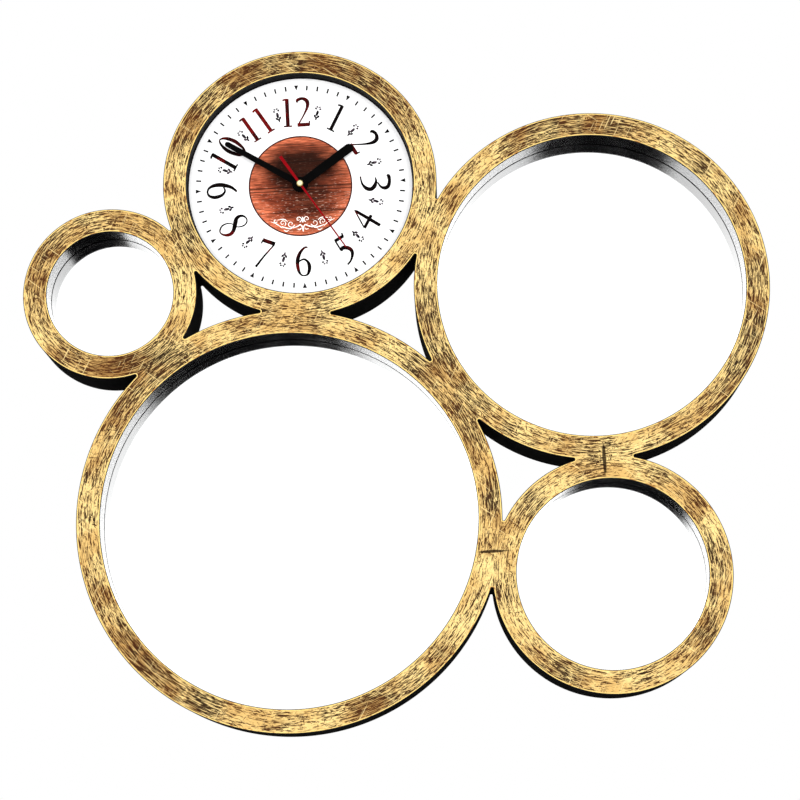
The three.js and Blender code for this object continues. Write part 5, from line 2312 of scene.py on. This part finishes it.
@dataclass(frozen=True)
class SoftLight:
    """A square soft light: its name, place in metres, size and power in watts."""

    name: str
    place: Triple
    size: float
    power: float

    def build(self) -> None:
        """Makes the light, facing the clock and hidden from its mirrors."""
        lamp = bpy.data.lights.new(self.name, "AREA")
        lamp.shape = "SQUARE"
        lamp.size = self.size
        lamp.energy = self.power
        rig = put_in_scene(self.name, lamp)
        rig.rotation_mode = "QUATERNION"
        rig.location = self.place
        rig.rotation_quaternion = (-Vector(self.place)).to_track_quat("-Z", "Y")
        rig.visible_glossy = rig.visible_transmission = False


@dataclass
class Studio:
    """White surroundings, soft side lights, a dark card in front and a pale floor below the clock."""

    white: float = 1.3
    seen_white: float = 1.0
    mirrored_white: float = 1.13
    dark: float = 0.01
    doubled: float = 0.04
    boxes: float = 1.1
    behind: Pair = (-0.1, 0.1)
    back_rise: Pair = (0.25, 0.6)
    card_distance: float = 1.93
    card_reach: float = 2.5
    card_fade: Pair = (-0.35, -0.24)
    card_tone: Colour = (0.01, 0.01, 0.011)
    floor_level: float = -1.2
    floor_reach: float = 6.0
    pale: Colour = (0.86, 0.86, 0.86)
    worn: Colour = (0.82, 0.82, 0.82)
    lights: tuple[SoftLight, ...] = (
        SoftLight("left_light", (-0.9, -3.0, -0.1), 2.4, 55), SoftLight("right_light", (1.3, -2.6, 0.4), 2.0, 45),
    )

    def world(self) -> None:
        """White all round, but black gloss sees the dark low part of the room behind the clock.

        Rays are told apart by how they came: straight from the camera, off one mirror through its glass, or off
        polished black.
        """
        world = bpy.data.worlds.new("studio")
        bpy.context.scene.world = world
        world.use_nodes = True
        bench = Bench(world.node_tree, "ShaderNodeOutputWorld")
        path = bench.node("ShaderNodeLightPath").outputs
        way = bench.node("ShaderNodeTexCoord").outputs["Generated"]
        axes = bench.node("ShaderNodeSeparateXYZ", {0: way}).outputs
        back = bench.between(axes["Y"], *self.behind)
        lit = bench.add(bench.less(1.0, back), bench.times(back, bench.between(axes["Z"], *self.back_rise)))
        glazed = bench.math("GREATER_THAN", path["Transmission Depth"], 0.5)
        single = bench.math("LESS_THAN", path["Glossy Depth"], 1.5)
        mirrored = bench.times(glazed, single)
        polished = bench.times(path["Is Glossy Ray"], bench.less(1.0, mirrored))
        shade = bench.times(polished, bench.less(1.0, lit))
        leaving = bench.less(1.0, path["Is Transmission Ray"])
        depth = bench.less(self.white - self.dark, bench.times(glazed, leaving, self.doubled))
        glow = bench.less(self.white, bench.times(shade, depth))
        boxes = bench.times(bench.times(glazed, polished), bench.times(lit, self.boxes))
        seen = bench.times(path["Is Camera Ray"], 1 - self.seen_white / self.white)
        cut = bench.add(seen, bench.times(mirrored, 1 - self.mirrored_white / self.white))
        strength = bench.times(bench.add(glow, boxes), bench.less(1.0, cut))
        bench.close(bench.node("ShaderNodeBackground", {"Color": (1.0, 1.0, 1.0), "Strength": strength}))

    def sheet(self, name: str, corners: Array, material: Material) -> Object:
        """A flat four-cornered piece of the studio.

        Args:
            name: its name.
            corners: its corners in metres, counter-clockwise as seen from its front.
            material: its finish.

        Returns:
            The object.
        """
        mesh = bpy.data.meshes.new(name)
        mesh.from_pydata(corners.tolist(), [], [(0, 1, 2, 3)])
        mesh.materials.append(material)
        made = put_in_scene(name, mesh)
        return made

    def floor(self) -> None:
        """A pale floor, well below the clock."""
        bench = FinishBench("pale_floor")
        tone = bench.noise(bench.position(), 3.0, 3)
        pale = bench.finish(
            Base_Color=bench.mix(bench.between(tone, 0.3, 0.7), self.pale, self.worn), Roughness=0.7,
            Specular_IOR_Level=0.2,
        )
        corners = np.array([[-1, -1, 0], [1, -1, 0], [1, 1, 0], [-1, 1, 0]]) * self.floor_reach
        floor = self.sheet("floor", corners + [0, 0, self.floor_level], pale)
        floor.visible_glossy = floor.visible_transmission = False

    def card(self) -> None:
        """A dark card in front, below eye level, that only the gloss of the walls beside a mirror sees.

        It is opaque below its fade and clear above it, share = 1 - smoothstep(z), and only for a ray that has
        left two polished faces.
        """
        bench = FinishBench("dark_card")
        path = bench.node("ShaderNodeLightPath").outputs
        height = bench.node("ShaderNodeSeparateXYZ", {"Vector": bench.position()}).outputs["Z"]
        opaque = bench.between(height, *self.card_fade, 1.0, 0.0)
        twice = bench.math("GREATER_THAN", path["Glossy Depth"], 1.5)
        clear = bench.node("ShaderNodeBsdfTransparent").outputs[0]
        black = bench.node("ShaderNodeEmission", {"Color": self.card_tone, "Strength": 1.0}).outputs[0]
        bench.close(bench.node("ShaderNodeMixShader", {0: bench.times(opaque, twice), 1: clear, 2: black}))
        side, near, top = self.card_reach, -self.card_distance, self.card_fade[1]
        corners = np.array([[-side, near, top], [side, near, top], [side, near, -side], [-side, near, -side]])
        card = self.sheet("dark_card", corners, bench.material)
        card.visible_camera = card.visible_diffuse = card.visible_shadow = card.visible_volume_scatter = False

    def build(self) -> None:
        """World, card, lights, floor and the plain rendering of colours."""
        self.world()
        self.card()
        for light in self.lights:
            light.build()
        self.floor()
        bpy.context.scene.view_settings.view_transform = "Standard"


def main() -> None:
    """Builds the clock from the moulding outwards, then the studio."""
    logging.basicConfig(level=logging.INFO, format="%(name)s: %(message)s", stream=sys.stdout)
    Viewpoint().build()
    shaft = middle_of("dial_print")
    rings = placed_rings()
    bands = tuple((*map(float, ring.centre), (ring.inner + ring.outer) / 2) for ring in rings.values())
    finishes = Finishes(tuple(map(float, shaft)), bands)
    hangers = Hangers(finishes)
    dial = Dial(finishes, shaft, heights_of("dial_print")[1])
    Moulding(finishes, rings).build(hangers.posts(), hangers.front())
    for ring in rings.values():
        Backing(finishes, ring).build(dial.hole)
    hangers.build()
    dial.build()
    Hands(finishes, shaft).build()
    Movement(finishes).build()
    Studio().build()


if __name__ == "__main__":
    main()
